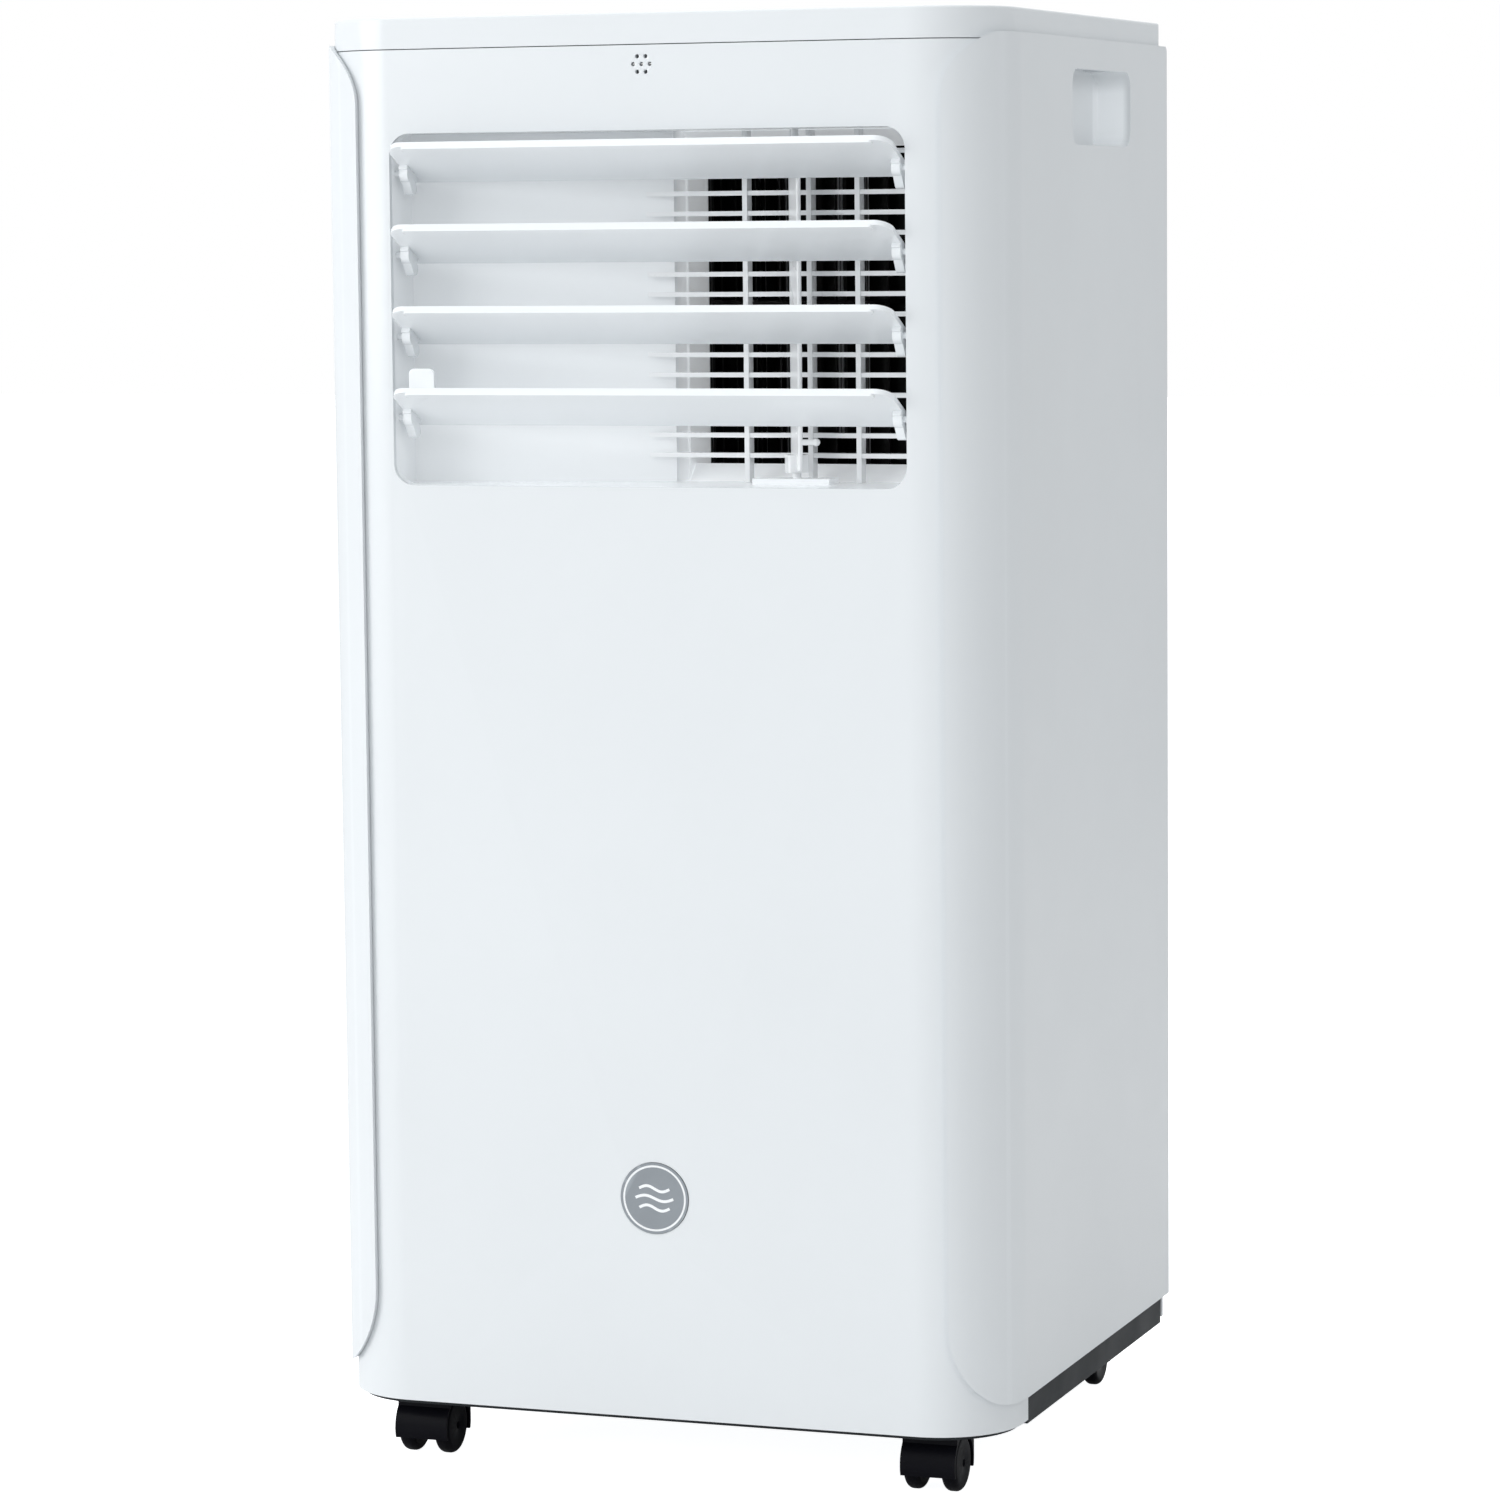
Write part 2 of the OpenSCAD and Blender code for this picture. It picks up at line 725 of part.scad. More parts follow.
module vertical_vane() {
  z0 = floor_z + 6.5;
  z1 = ceiling_z - 4;
  color("White") translate([vane_x, vane_y, 0]) rotate(vane_rest) {
    along_z(z0, z1) rounded_rect([2.2, vane_chord], 1);
    along_z(z0 - 1, z0 + 7.3) rounded_rect([10, 9], 1.5);
    translate([0, 0, floor_z + 1.2]) cylinder(r = 2, h = 10);
    translate([0, 0, z1 - 1]) cylinder(r = 2, h = 6.5);
    // Lever that the fingers push
    translate([0, -vane_chord / 2 + 1.5, floor_z + 19.8]) rotate([0, 90, -20]) {
      cylinder(r = 1.4, h = 7.6);
      translate([0, 0, 7.6]) sphere(1.8);
    }
  }
}

// Everything on the far side of the slanted wall, moved off it by a gap
module behind_slope(gap) {
  along_z(floor_z - cut, ceiling_z + cut) translate([gap, -gap])
    polygon([slope_a + [-40, 0], slope_a, slope_b, slope_c, [slope_c.x, -50], [slope_a.x - 40, -50]]);
}

// How far a guard bar stands back at x
function bow_at(x) =
  abs(x - vane_x) < guard_bow[1] ? guard_bow[0] * (1 + cos(180 * (x - vane_x) / guard_bow[1])) / 2 : 0;

module outlet_grille() {
  x1 = duct_half - 0.3;
  bend = [for (k = [-6 : 6]) vane_x + k * guard_bow[1] / 6];
  color("White") union() {
    difference() {
      for (i = [0 : guard_bars - 1])
        along_z(guard_z0 + i * guard_pitch - guard_bar / 2, guard_z0 + i * guard_pitch + guard_bar / 2)
          polygon(concat(
            [[-40, guard_y[0]]], [for (x = bend) [x, guard_y[0] + bow_at(x)]], [[x1, guard_y[0]]],
            [[x1, guard_y[1]]], [for (k = [12 : -1 : 0]) [bend[k], guard_y[1] + bow_at(bend[k])]],
            [[-40, guard_y[1]]]));
      behind_slope(1.5);
    }
    for (x = guard_rib_x) translate([x, bow_at(x), 0])
      box([-1.2, guard_y[0] - 0.6, floor_z + 0.2], [1.2, guard_y[1], ceiling_z - 0.2]);
    box([x1 - 2.5, guard_y[0], floor_z + 0.2], [x1, guard_y[1], ceiling_z - 0.2]);
  }
}

// Plan of the casing's floor and lid
module casing_plate() {
  polygon([[-duct_half - skin, duct_y0], [duct_half + skin, duct_y0], [duct_half + skin, -40],
           [fan_x + 60, 30], [fan_x, 48], [slope_d.x - 12, -20], slope_d - [6, 0],
           slope_c - [3, 0], slope_b + [-2, 3], slope_a + [-skin, 3]]);
  translate([fan_x, fan_y]) circle(fan_r + 8);
}

// The scroll opens from the fan's rear right towards the outlet's right side
scroll_steps = 10;
scroll_from = 45;
scroll_to = atan2(-45 - fan_y, duct_half - fan_x);
function scroll_point(i, grow) =
  let (a = scroll_from + (scroll_to - scroll_from) * i / scroll_steps,
       r_end = norm([duct_half - fan_x, -45 - fan_y]),
       r = fan_r + fan_gap + (r_end - fan_r - fan_gap) * i / scroll_steps + grow)
  [fan_x + r * cos(a), fan_y + r * sin(a)];

module fan_casing() {
  color("Ivory") difference() {
    union() {
      along_z(floor_z - skin, floor_z) casing_plate();
      along_z(floor_z - skin, ceiling_z) {
        polygon([[-duct_half, duct_y0], slope_a, slope_b, slope_c, slope_d,
                 slope_d + slope_back[3], slope_c + slope_back[2], slope_b + slope_back[1],
                 slope_a + slope_back[0], [-duct_half - skin, duct_y0]]);
        polygon(concat([for (i = [0 : scroll_steps]) scroll_point(i, 0)],
                       [for (i = [scroll_steps : -1 : 0]) scroll_point(i, skin)]));
        translate([duct_half, duct_y0]) square([skin, -43 - duct_y0]);
        // Bead down the bend beside the fan
        translate(slope_c) circle(0.8);
      }
      // Flange behind the front panel, following its round corners
      intersection() {
        along_y(duct_y0, duct_y0 + flange_t) translate([0, outlet_z]) difference() {
          rounded_rect([outlet_w + 26, outlet_h + 22], 6);
          rounded_rect([outlet_w, outlet_h], outlet_r);
        }
        along_z(floor_z - 30, ceiling_z + 30) body_plan(-wall - 0.3, wrap_y);
      }
      // Low step in front of the fan
      along_x(slope_c.x + 1, duct_half + 1)
        polygon([[-88.5, floor_z - 1], [-79, floor_z + 8], [-77, floor_z + 8], [-77, floor_z - 1]]);
      // The same step under the lid
      along_x(slope_c.x - 1, duct_half + 1)
        polygon([[-88.5, ceiling_z], [-79, ceiling_z - 8], [-77, ceiling_z - 8], [-77, ceiling_z]]);
      box([vane_x - 19.8, vane_y - 7, floor_z - 1], [vane_x + 18.2, vane_y + 7, floor_z + 2.8]);
    }
    for (i = [0 : 3]) translate([0, pivot_y, pivot_top_z - i * louver_pitch])
      pin_x(-duct_half - 4, duct_half + 4, pivot_r + fit);
    translate([fan_x, fan_y, floor_z - 4]) cylinder(r = 12, h = 8);
    translate([vane_x, vane_y, floor_z + 1]) cylinder(r = 2 + fit, h = 8);
    for (x = [-1, 1], z = [-1, 1])
      pin_y(x * post.x, outlet_z + z * post.y, duct_y0 - cut, duct_y0 + flange_t + cut, post_r + 0.2);
  }
}

module fan_casing_lid() {
  color("Ivory") difference() {
    along_z(ceiling_z + 0.1, ceiling_z + skin) difference() {
      casing_plate();
      translate([-half_w, duct_y0 - cut]) square([2 * half_w, flange_t + cut + 0.1]);
    }
    translate([fan_x, fan_y, ceiling_z - 1]) cylinder(r = 3 + fit, h = 5);
    translate([vane_x, vane_y, ceiling_z - 1]) cylinder(r = 2 + fit, h = 5);
  }
}

// ---------- evaporator side ----------

module evaporator_fan() {
  z0 = floor_z + 5;
  z1 = ceiling_z - 4;
  blades = 26;
  color("DimGray") translate([fan_x, fan_y, 0]) {
    for (z = [z0, (z0 + z1) / 2, z1 - 2]) translate([0, 0, z]) cylinder(r = fan_r, h = 2);
    for (i = [0 : blades - 1]) rotate(i * 360 / blades)
      translate([fan_r - 6, 0, z0]) rotate(32) translate([-5, -0.7, 0]) cube([10, 1.4, z1 - z0]);
    translate([0, 0, z0]) cylinder(r = 14, h = 14);
    translate([0, 0, 430]) cylinder(r = 4, h = z0 - 425);
    translate([0, 0, z1 - 1]) cylinder(r = 3, h = 7);
  }
}

module evaporator_motor() {
  color("Silver") translate([fan_x, fan_y, 0]) difference() {
    union() {
      translate([0, 0, 420]) cylinder(r = 38, h = 46);
      translate([0, 0, 416]) cylinder(r = 16, h = 52);
      for (a = [45 : 90 : 315]) rotate(a) box([30, -7, 463], [47, 7, floor_z - skin - 0.1]);
    }
    translate([0, 0, 425]) cylinder(r = 4 + fit, h = 60);
  }
}

module coil_fins(z0, rows) {
  h = rows * row_pitch + 8;
  comb = 8;
  difference() {
    box([-coil_half, coil_y[0], z0], [coil_half, coil_y[1], z0 + h]);
    for (i = [0 : rows - 1], y = tube_y)
      translate([0, y, z0 + 16 + i * row_pitch]) pin_x(-coil_half - cut, coil_half + cut, tube_r + 0.1);
    for (x = [-coil_half + comb : comb : coil_half - comb], y = [coil_y[0] - cut, coil_y[1] - 2.5])
      box([x - 2.5, y, z0 + 3], [x + 2.5, y + 2.5 + cut, z0 + h - 3]);
  }
}

// Half ring that joins two neighbouring tubes; the open side faces the coil
module return_bend(x, y, z) {
  side = x > 0 ? -90 : 90;
  translate([x, y, z]) rotate([90, 0, 0]) rotate(side)
    rotate_extrude(angle = 180) translate([row_pitch / 2, 0]) circle(tube_r);
}

module coil_tubes(z0, rows) {
  end = coil_half + 4;
  z_first = z0 + 16;
  for (i = [0 : rows - 1], y = tube_y)
    translate([0, y, z_first + i * row_pitch]) pin_x(-end, end, tube_r);
  for (y = tube_y) {
    for (i = [0 : 2 : rows - 2]) return_bend(end, y, z_first + (i + 0.5) * row_pitch);
    for (i = [1 : 2 : rows - 2]) return_bend(-end, y, z_first + (i + 0.5) * row_pitch);
  }
  // Cross link between the two columns at the foot
  translate([-end, (tube_y[0] + tube_y[1]) / 2, z_first]) rotate(90)
    rotate_extrude(angle = 180) translate([(tube_y[1] - tube_y[0]) / 2, 0]) circle(tube_r);
}

module evaporator_fins() {
  color("Silver") coil_fins(evap_z, evap_rows);
}

module evaporator_tubes() {
  color("Peru") coil_tubes(evap_z, evap_rows);
}

module mid_deck() {
  post_h = floor_z - skin - deck_z - 3.1;
  color("Gray") difference() {
    union() {
      along_z(deck_z, deck_z + 3) body_plan(-wall - 1.7, 136);
      // Drip tray round the evaporator
      difference() {
        box([-158, 92, deck_z], [158, 136, deck_z + 15]);
        box([-156, 94, deck_z + 3], [156, 134, deck_z + 16]);
      }
      for (x = [-100, 0, 100]) box([x - 2, 98, deck_z + 2], [x + 2, 132, evap_z - 0.1]);
      for (p = [[-118, -128], [118, -128], [118, -45], [10, -76], [fan_x, 43]])
        translate([p.x, p.y, deck_z + 2]) cylinder(r = 5, h = post_h + 1);
    }
    translate([fan_x, fan_y, deck_z - cut]) cylinder(r = 49, h = 6);
    for (p = [[-155, 70], [-135, 86]]) translate([p.x, p.y, deck_z - cut]) cylinder(r = 6, h = 6);
    translate([-150, 100, deck_z - cut]) cylinder(r = 3, h = 6);
  }
}

// ---------- condenser side ----------

function spiral_r(a) = scroll_r[0] + (scroll_r[1] - scroll_r[0]) * (a - 50) / 310;

// Outline of the blower's scroll and the riser above it
module scroll_outline(grow, z_top) {
  translate([blower_x, blower_z]) {
    polygon(concat([[0, 0]],
      [for (a = [50 : 10 : 360]) (spiral_r(a) + grow) * [cos(a), sin(a)]]));
    circle(scroll_r[0] + grow);
  }
  translate([riser_x[0] - grow, blower_z])
    square([riser_x[1] - riser_x[0] + 2 * grow, z_top - blower_z]);
}

module condenser_scroll() {
  y1 = rear_y[0] - 0.3;
  color("LightGray") difference() {
    union() {
      along_y(scroll_y[0], scroll_y[1]) scroll_outline(skin, plenum_z[0]);
      box([plenum_x[0] - skin, scroll_y[0], plenum_z[0] - skin],
          [plenum_x[1] + skin, y1, plenum_z[1] + skin]);
      // Feet on the base pan
      for (x = [0, 100]) box([x - 4, 40, pan_floor + 0.1], [x + 4, 74, 130]);
    }
    along_y(scroll_y[0] + skin, scroll_y[1] + cut) scroll_outline(0, plenum_z[0] - skin - cut);
    box([riser_x[0], scroll_y[0] + skin, plenum_z[0] - 20],
        [riser_x[1], scroll_y[1] - skin, plenum_z[0] + cut]);
    box([plenum_x[0], scroll_y[0] + skin, plenum_z[0]],
        [plenum_x[1], y1 - skin, plenum_z[1]]);
    pin_y(port_x, port_z, y1 - skin - cut, y1 + cut, exhaust_r + 2.8);
    pin_y(blower_x, blower_z, scroll_y[0] - cut, scroll_y[0] + 4, 18);
  }
}

module scroll_cover() {
  color("LightGray") difference() {
    union() {
      along_y(scroll_y[1] + 0.1, scroll_y[1] + skin) difference() {
        scroll_outline(skin, plenum_z[0] - skin - 0.2);
        translate([blower_x, blower_z]) circle(52);
      }
      pin_y(blower_x, blower_z, scroll_y[1] - 6, scroll_y[1] + skin, 54.5);
    }
    pin_y(blower_x, blower_z, scroll_y[1] - 7, scroll_y[1] + 4, 52);
  }
}

module condenser_fan() {
  blades = 30;
  y_plate = 33;
  y_ring = 82;
  color("DimGray") translate([blower_x, 0, blower_z]) {
    pin_y(0, 0, y_plate, y_plate + 2, blower_r);
    pin_y(0, 0, y_plate - 3, y_plate + 24, 11);
    pin_y(0, 0, 0, y_plate, 4);
    difference() {
      pin_y(0, 0, y_ring - 1, y_ring + 1, blower_r);
      pin_y(0, 0, y_ring - 3, y_ring + 3, blower_r - 6);
    }
    for (i = [0 : blades - 1]) rotate([0, i * 360 / blades, 0])
      translate([blower_r - 6.5, 0, 0]) rotate([0, 40, 0])
        box([-5.5, y_plate + 1, -0.7], [5.5, y_ring, 0.7]);
  }
}

module condenser_motor() {
  color("Silver") difference() {
    union() {
      pin_y(blower_x, blower_z, -28, 20, 38);
      pin_y(blower_x, blower_z, -32, 24, 15);
      for (a = [45 : 90 : 315]) translate([blower_x, 0, blower_z]) rotate([0, a, 0])
        box([28, 16, -7], [46, scroll_y[0] - 0.1, 7]);
    }
    pin_y(blower_x, blower_z, -6, 30, 4 + fit);
  }
}

module condenser_fins() {
  color("Silver") coil_fins(cond_z, cond_rows);
}

module condenser_tubes() {
  color("Peru") coil_tubes(cond_z, cond_rows);
}

module compressor() {
  z0 = 68;
  z1 = 262;
  dome_r = 74;
  dome_drop = sqrt(dome_r * dome_r - comp_r * comp_r);
  color("DarkSlateGray") difference() {
    translate([comp_x, comp_y, 0]) union() {
      translate([0, 0, z0]) cylinder(r = comp_r, h = z1 - z0);
      translate([0, 0, z1 - dome_drop]) intersection() {
        sphere(dome_r);
        translate([0, 0, dome_drop - 0.1]) cylinder(r = comp_r, h = dome_r);
      }
      translate([0, 0, 100]) cylinder(r = comp_r + 1.5, h = 4);
      translate([0, 0, 240]) cylinder(r = comp_r + 1.5, h = 4);
      // Terminal cap and discharge stub
      translate([18, 0, z1 + 8]) cylinder(r = 15, h = 24);
      translate([-18, 0, z1 + 8]) cylinder(r = 5, h = 16);
      // Three-legged foot plate
      for (a = [90, 210, 330]) rotate(a) {
        box([0, -13, 57], [foot_ring, 13, 60]);
        translate([foot_ring, 0, 57]) cylinder(r = 13, h = 3);
      }
      translate([0, 0, 57]) cylinder(r = 40, h = 14);
    }
    for (i = [0 : 2]) translate([foot_at(i).x, foot_at(i).y, 50]) cylinder(r = 4.6, h = 20);
  }
}

module compressor_mounts() {
  color("Black") for (i = [0 : 2]) translate([foot_at(i).x, foot_at(i).y, pan_z0 + 10.1])
    difference() {
      union() {
        cylinder(r = 10, h = 7);
        cylinder(r = 8, h = 12);
        translate([0, 0, 11]) cylinder(r = 10, h = 5.8);
      }
      translate([0, 0, -cut]) cylinder(r = 4.1, h = 20);
    }
}

module accumulator() {
  color("DarkSlateGray") difference() {
    union() {
      translate([acc_x, acc_y, 110]) {
        cylinder(r = acc_r, h = 120);
        sphere(acc_r);
        translate([0, 0, 120]) sphere(acc_r);
        translate([0, 0, 120]) cylinder(r = 5, h = 30);
        // Strap to the compressor
        translate([0, 0, 50]) cylinder(r = acc_r + 1.2, h = 14);
      }
      box([comp_x + 50, acc_y - 5, 162], [acc_x - 10, acc_y + 5, 172]);
    }
    translate([comp_x, comp_y, 100]) cylinder(r = comp_r + 0.2, h = 120);
  }
}

module refrigerant_pipes() {
  end = -coil_half - 4;
  cond_top = cond_z + 16 + (cond_rows - 1) * row_pitch;
  evap_top = evap_z + 16 + (evap_rows - 1) * row_pitch;
  hot = [comp_x - 18, comp_y, 286.1];
  color("Peru") {
    // Hot gas from the compressor to the condenser
    pipe([hot, [hot.x, hot.y, 318], [-150, hot.y, 318], [-150, tube_y[0], 318],
          [-150, tube_y[0], cond_top], [end - 0.1, tube_y[0], cond_top]], 3, 7);
    // Liquid line up to the evaporator, through the deck
    pipe([[end - 0.1, tube_y[1], cond_top], [-155, tube_y[1], cond_top], [-155, tube_y[1], 330],
          [-155, 70, 330], [-155, 70, 462], [-162, 70, 462], [-162, tube_y[0], 462],
          [-162, tube_y[0], evap_top], [end - 0.1, tube_y[0], evap_top]], 2, 3);
    // Suction line back to the accumulator
    pipe([[end - 0.1, tube_y[1], evap_top], [-154, tube_y[1], evap_top],
          [-154, tube_y[1], evap_top + 15], [-154, 86, evap_top + 15], [-135, 86, evap_top + 15],
          [-135, 86, 425], [-135, -20, 425], [acc_x, -20, 425], [acc_x, acc_y, 425],
          [acc_x, acc_y, 260.1]], 4, 7);
  }
}

module control_box() {
  color("Gainsboro") {
    difference() {
      box([80, -128, 240], [150, -58, 400]);
      box([79, -126, 242], [148, -60, 398]);
    }
    // Hangers up to the deck
    for (x = [90, 130]) box([x, -96, 399], [x + 10, -94, deck_z - 0.1]);
    // Circuit board against its inner wall, with its relays
    box([146, -120, 250], [148.1, -66, 390]);
    for (z = [262, 300, 338]) box([125, -112, z], [146.1, -84, z + 24]);
  }
}

module run_capacitor() {
  color("Silver") translate([103, -92, 262]) {
    cylinder(r = 19, h = 84);
    translate([0, 0, 83]) cylinder(r = 16, h = 5);
    for (x = [-6, 6]) box([x - 2.5, -0.4, 85], [x + 2.5, 0.4, 97]);
    box([-21, -21, -20], [21, 21, 0]);
  }
}

module slinger_motor() {
  color("Silver") difference() {
    union() {
      pin_y(-105, 68, 58, 86, 14);
      box([-121, 60, pan_floor + 0.1], [-89, 84, 60]);
    }
    pin_y(-105, 68, 70, 90, 2.5 + fit);
  }
}

module slinger_wheel() {
  paddles = 10;
  color("White") translate([-105, 0, 68]) {
    pin_y(0, 0, 72, 96, 2.5);
    pin_y(0, 0, 90, 92, 22);
    pin_y(0, 0, 89, 97, 6);
    for (i = [0 : paddles - 1]) rotate([0, i * 360 / paddles, 0])
      box([8, 91, -0.8], [27, 97, 0.8]);
  }
}

// ---------- casters ----------

module caster_stems() {
  color("Silver") for (x = [-caster_x, caster_x], y = caster_y)
    translate([x, y, 18]) cylinder(r = 3, h = 31.9);
}

// The hood wraps the wheels down to their lower third and holds the axle between them
module caster_hood(x, y) {
  out_r = wheel_r + 1.8;
  top = pan_z0 - 0.6;
  color("Black") translate([x, y, 0]) difference() {
    union() {
      intersection() {
        translate([0, caster_trail, wheel_r]) difference() {
          union() {
            pin_x(-hood_half, hood_half, out_r);
            box([-hood_half, -caster_trail - 5, 0], [hood_half, out_r, top - wheel_r]);
          }
          pin_x(-hood_half - cut, hood_half + cut, wheel_r + 0.5);
        }
        box([-hood_half, -20, 9], [hood_half, 40, top]);
      }
      box([-hub_half, -5, 9], [hub_half, caster_trail + 5, top]);
      translate([0, caster_trail, wheel_r]) pin_x(-hub_half, hub_half, 6.5);
    }
    translate([0, 0, 17.5]) cylinder(r = 3 + fit, h = 20);
    translate([0, caster_trail, wheel_r]) pin_x(-20, 20, 2 + fit);
  }
}

module caster_wheels(x, y) {
  w = hood_half - 0.3 - wheel_in;
  shoulder_r = 3;
  color("Black") translate([x, y + caster_trail, wheel_r]) {
    pin_x(-wheel_in - 2, wheel_in + 2, 2);
    for (s = [0, 180]) rotate([0, 90, s]) translate([0, 0, wheel_in]) rotate_extrude() {
      difference() {
        translate([1.9, 0]) square([wheel_r - 1.9, w]);
        for (z = [-cut, w - shoulder_r]) translate([wheel_r - shoulder_r, z]) difference() {
          square(shoulder_r + cut);
          translate([0, z < 0 ? shoulder_r + cut : 0]) circle(shoulder_r);
        }
      }
    }
  }
}

module caster_hood_fl() { caster_hood(-caster_x, caster_y[0]); }
module caster_hood_fr() { caster_hood(caster_x, caster_y[0]); }
module caster_hood_rl() { caster_hood(-caster_x, caster_y[1]); }
module caster_hood_rr() { caster_hood(caster_x, caster_y[1]); }
module caster_wheels_fl() { caster_wheels(-caster_x, caster_y[0]); }
module caster_wheels_fr() { caster_wheels(caster_x, caster_y[0]); }
module caster_wheels_rl() { caster_wheels(-caster_x, caster_y[1]); }
module caster_wheels_rr() { caster_wheels(caster_x, caster_y[1]); }

base_pan();
front_panel();
left_side_panel();
right_side_panel();
top_cover();
rear_panel();
badge();
control_panel();
display_window();
control_board();
button_power();
button_mode();
button_fan();
button_up();
button_down();
louver_1();
louver_2();
louver_3();
louver_4();
louver_link();
vertical_vane();
outlet_grille();
fan_casing();
fan_casing_lid();
evaporator_fan();
evaporator_motor();
evaporator_fins();
evaporator_tubes();
condenser_fins();
condenser_tubes();
condenser_scroll();
scroll_cover();
condenser_fan();
condenser_motor();
mid_deck();
compressor();
compressor_mounts();
accumulator();
refrigerant_pipes();
control_box();
run_capacitor();
slinger_motor();
slinger_wheel();
upper_grille();
upper_filter();
lower_grille();
lower_filter();
exhaust_collar();
cord_inlet();
drain_plug();
panel_screws();
caster_stems();
caster_hood_fl();
caster_hood_fr();
caster_hood_rl();
caster_hood_rr();
caster_wheels_fl();
caster_wheels_fr();
caster_wheels_rl();
caster_wheels_rr();
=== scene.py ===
import json
import math

import bmesh
import bpy
from mathutils import Matrix, Vector


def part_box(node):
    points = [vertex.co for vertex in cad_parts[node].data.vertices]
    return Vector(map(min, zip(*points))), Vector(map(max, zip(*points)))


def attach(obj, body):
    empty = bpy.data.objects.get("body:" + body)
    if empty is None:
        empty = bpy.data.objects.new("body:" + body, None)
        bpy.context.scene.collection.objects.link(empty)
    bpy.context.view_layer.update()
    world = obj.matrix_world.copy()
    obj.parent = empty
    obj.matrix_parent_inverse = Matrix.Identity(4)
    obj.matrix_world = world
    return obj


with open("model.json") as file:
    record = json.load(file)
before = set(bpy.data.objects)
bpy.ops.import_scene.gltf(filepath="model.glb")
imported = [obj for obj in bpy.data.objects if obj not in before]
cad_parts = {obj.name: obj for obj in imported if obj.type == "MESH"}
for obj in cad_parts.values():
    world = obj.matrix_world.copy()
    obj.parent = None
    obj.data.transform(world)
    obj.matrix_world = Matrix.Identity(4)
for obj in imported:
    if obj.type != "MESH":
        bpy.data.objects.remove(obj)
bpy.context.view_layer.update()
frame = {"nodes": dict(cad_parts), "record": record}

NODES = frame["nodes"]
MM = 0.001


# ---------------------------------------------------------------- camera, light and floor

# The camera was fitted to the cabinet's edges in the photograph: its place in metres, the
# directions behind and above it, and its lens and sensor in mm
CAMERA_PLACE = (0.86627, -2.40648, 0.5976)
CAMERA_BACK = (0.33773, -0.93571, 0.10188)
CAMERA_UP = (-0.02521, 0.09921, 0.99475)
CAMERA_LENS = 124.96
CAMERA_SENSOR = 36.0
CAMERA_CLIP_START = 0.05

# Name, place and target in metres, size in metres, power in watts
SOFTBOXES = (
    ("key_softbox", (-2.4, -2.3, 1.2), (0, 0, 0.25), (1.8, 1.6), 36),
    ("top_softbox", (0, 0.2, 2.8), (0, 0, 0), (3.0, 3.0), 25),
    ("side_softbox", (2.1, -1.9, 1.9), (0.17, 0, 0.45), (1.1, 1.1), 7),
)

# The room's light falls from its first strength to its second over that range of a direction's X
ROOM_TINT = (0.95, 0.98, 1.0, 1)
ROOM_X = (-0.3, 0.9)
ROOM_STRENGTH = (0.985, 0.385)

# The floor shines with its second strength for the camera, which sees it white, and with its first
# for everything else
FLOOR_HALF = 14.0
FLOOR_TONES = (0.77, 0.79)
FLOOR_TINT = (0.98, 0.99, 1.0, 1)
FLOOR_SHINE = (0.05, 0.97)

MAP_SOCKETS = ("From Min", "From Max", "To Min", "To Max")


def add_camera():
    camera = bpy.data.objects.new("camera", bpy.data.cameras.new("camera"))
    bpy.context.scene.collection.objects.link(camera)
    back = Vector(CAMERA_BACK).normalized()
    right = Vector(CAMERA_UP).cross(back).normalized()
    up = back.cross(right)
    turn = Matrix((right, up, back)).transposed().to_4x4()
    camera.matrix_world = Matrix.Translation(CAMERA_PLACE) @ turn
    camera.data.lens = CAMERA_LENS
    camera.data.sensor_width = CAMERA_SENSOR
    camera.data.clip_start = CAMERA_CLIP_START
    bpy.context.scene.camera = camera


def add_area(name, place, target, size, power):
    data = bpy.data.lights.new(name, "AREA")
    data.shape = "RECTANGLE"
    data.size, data.size_y = size
    data.energy = power
    lamp = bpy.data.objects.new(name, data)
    bpy.context.scene.collection.objects.link(lamp)
    lamp.location = place
    aim = Vector(target) - Vector(place)
    lamp.rotation_euler = aim.to_track_quat("-Z", "Y").to_euler()


def add_light():
    """Softboxes in a room of soft light, which is brighter on the left and white to the camera."""
    for softbox in SOFTBOXES:
        add_area(*softbox)
    world = bpy.data.worlds.new("studio")
    bpy.context.scene.world = world
    world.use_nodes = True
    tree = world.node_tree
    tree.nodes.clear()
    out = tree.nodes.new("ShaderNodeOutputWorld")
    coords = tree.nodes.new("ShaderNodeTexCoord")
    split = tree.nodes.new("ShaderNodeSeparateXYZ")
    side = tree.nodes.new("ShaderNodeMapRange")
    for key, value in zip(MAP_SOCKETS, (*ROOM_X, *ROOM_STRENGTH)):
        side.inputs[key].default_value = value
    lit = tree.nodes.new("ShaderNodeBackground")
    lit.inputs["Color"].default_value = ROOM_TINT
    seen = tree.nodes.new("ShaderNodeBackground")
    seen.inputs["Color"].default_value = (1, 1, 1, 1)
    seen.inputs["Strength"].default_value = 1.0
    path = tree.nodes.new("ShaderNodeLightPath")
    mix = tree.nodes.new("ShaderNodeMixShader")
    tree.links.new(coords.outputs["Generated"], split.inputs[0])
    tree.links.new(split.outputs["X"], side.inputs["Value"])
    tree.links.new(side.outputs["Result"], lit.inputs["Strength"])
    tree.links.new(path.outputs["Is Camera Ray"], mix.inputs["Fac"])
    tree.links.new(lit.outputs[0], mix.inputs[1])
    tree.links.new(seen.outputs[0], mix.inputs[2])
    tree.links.new(mix.outputs[0], out.inputs["Surface"])
    bpy.context.scene.view_settings.view_transform = "Standard"


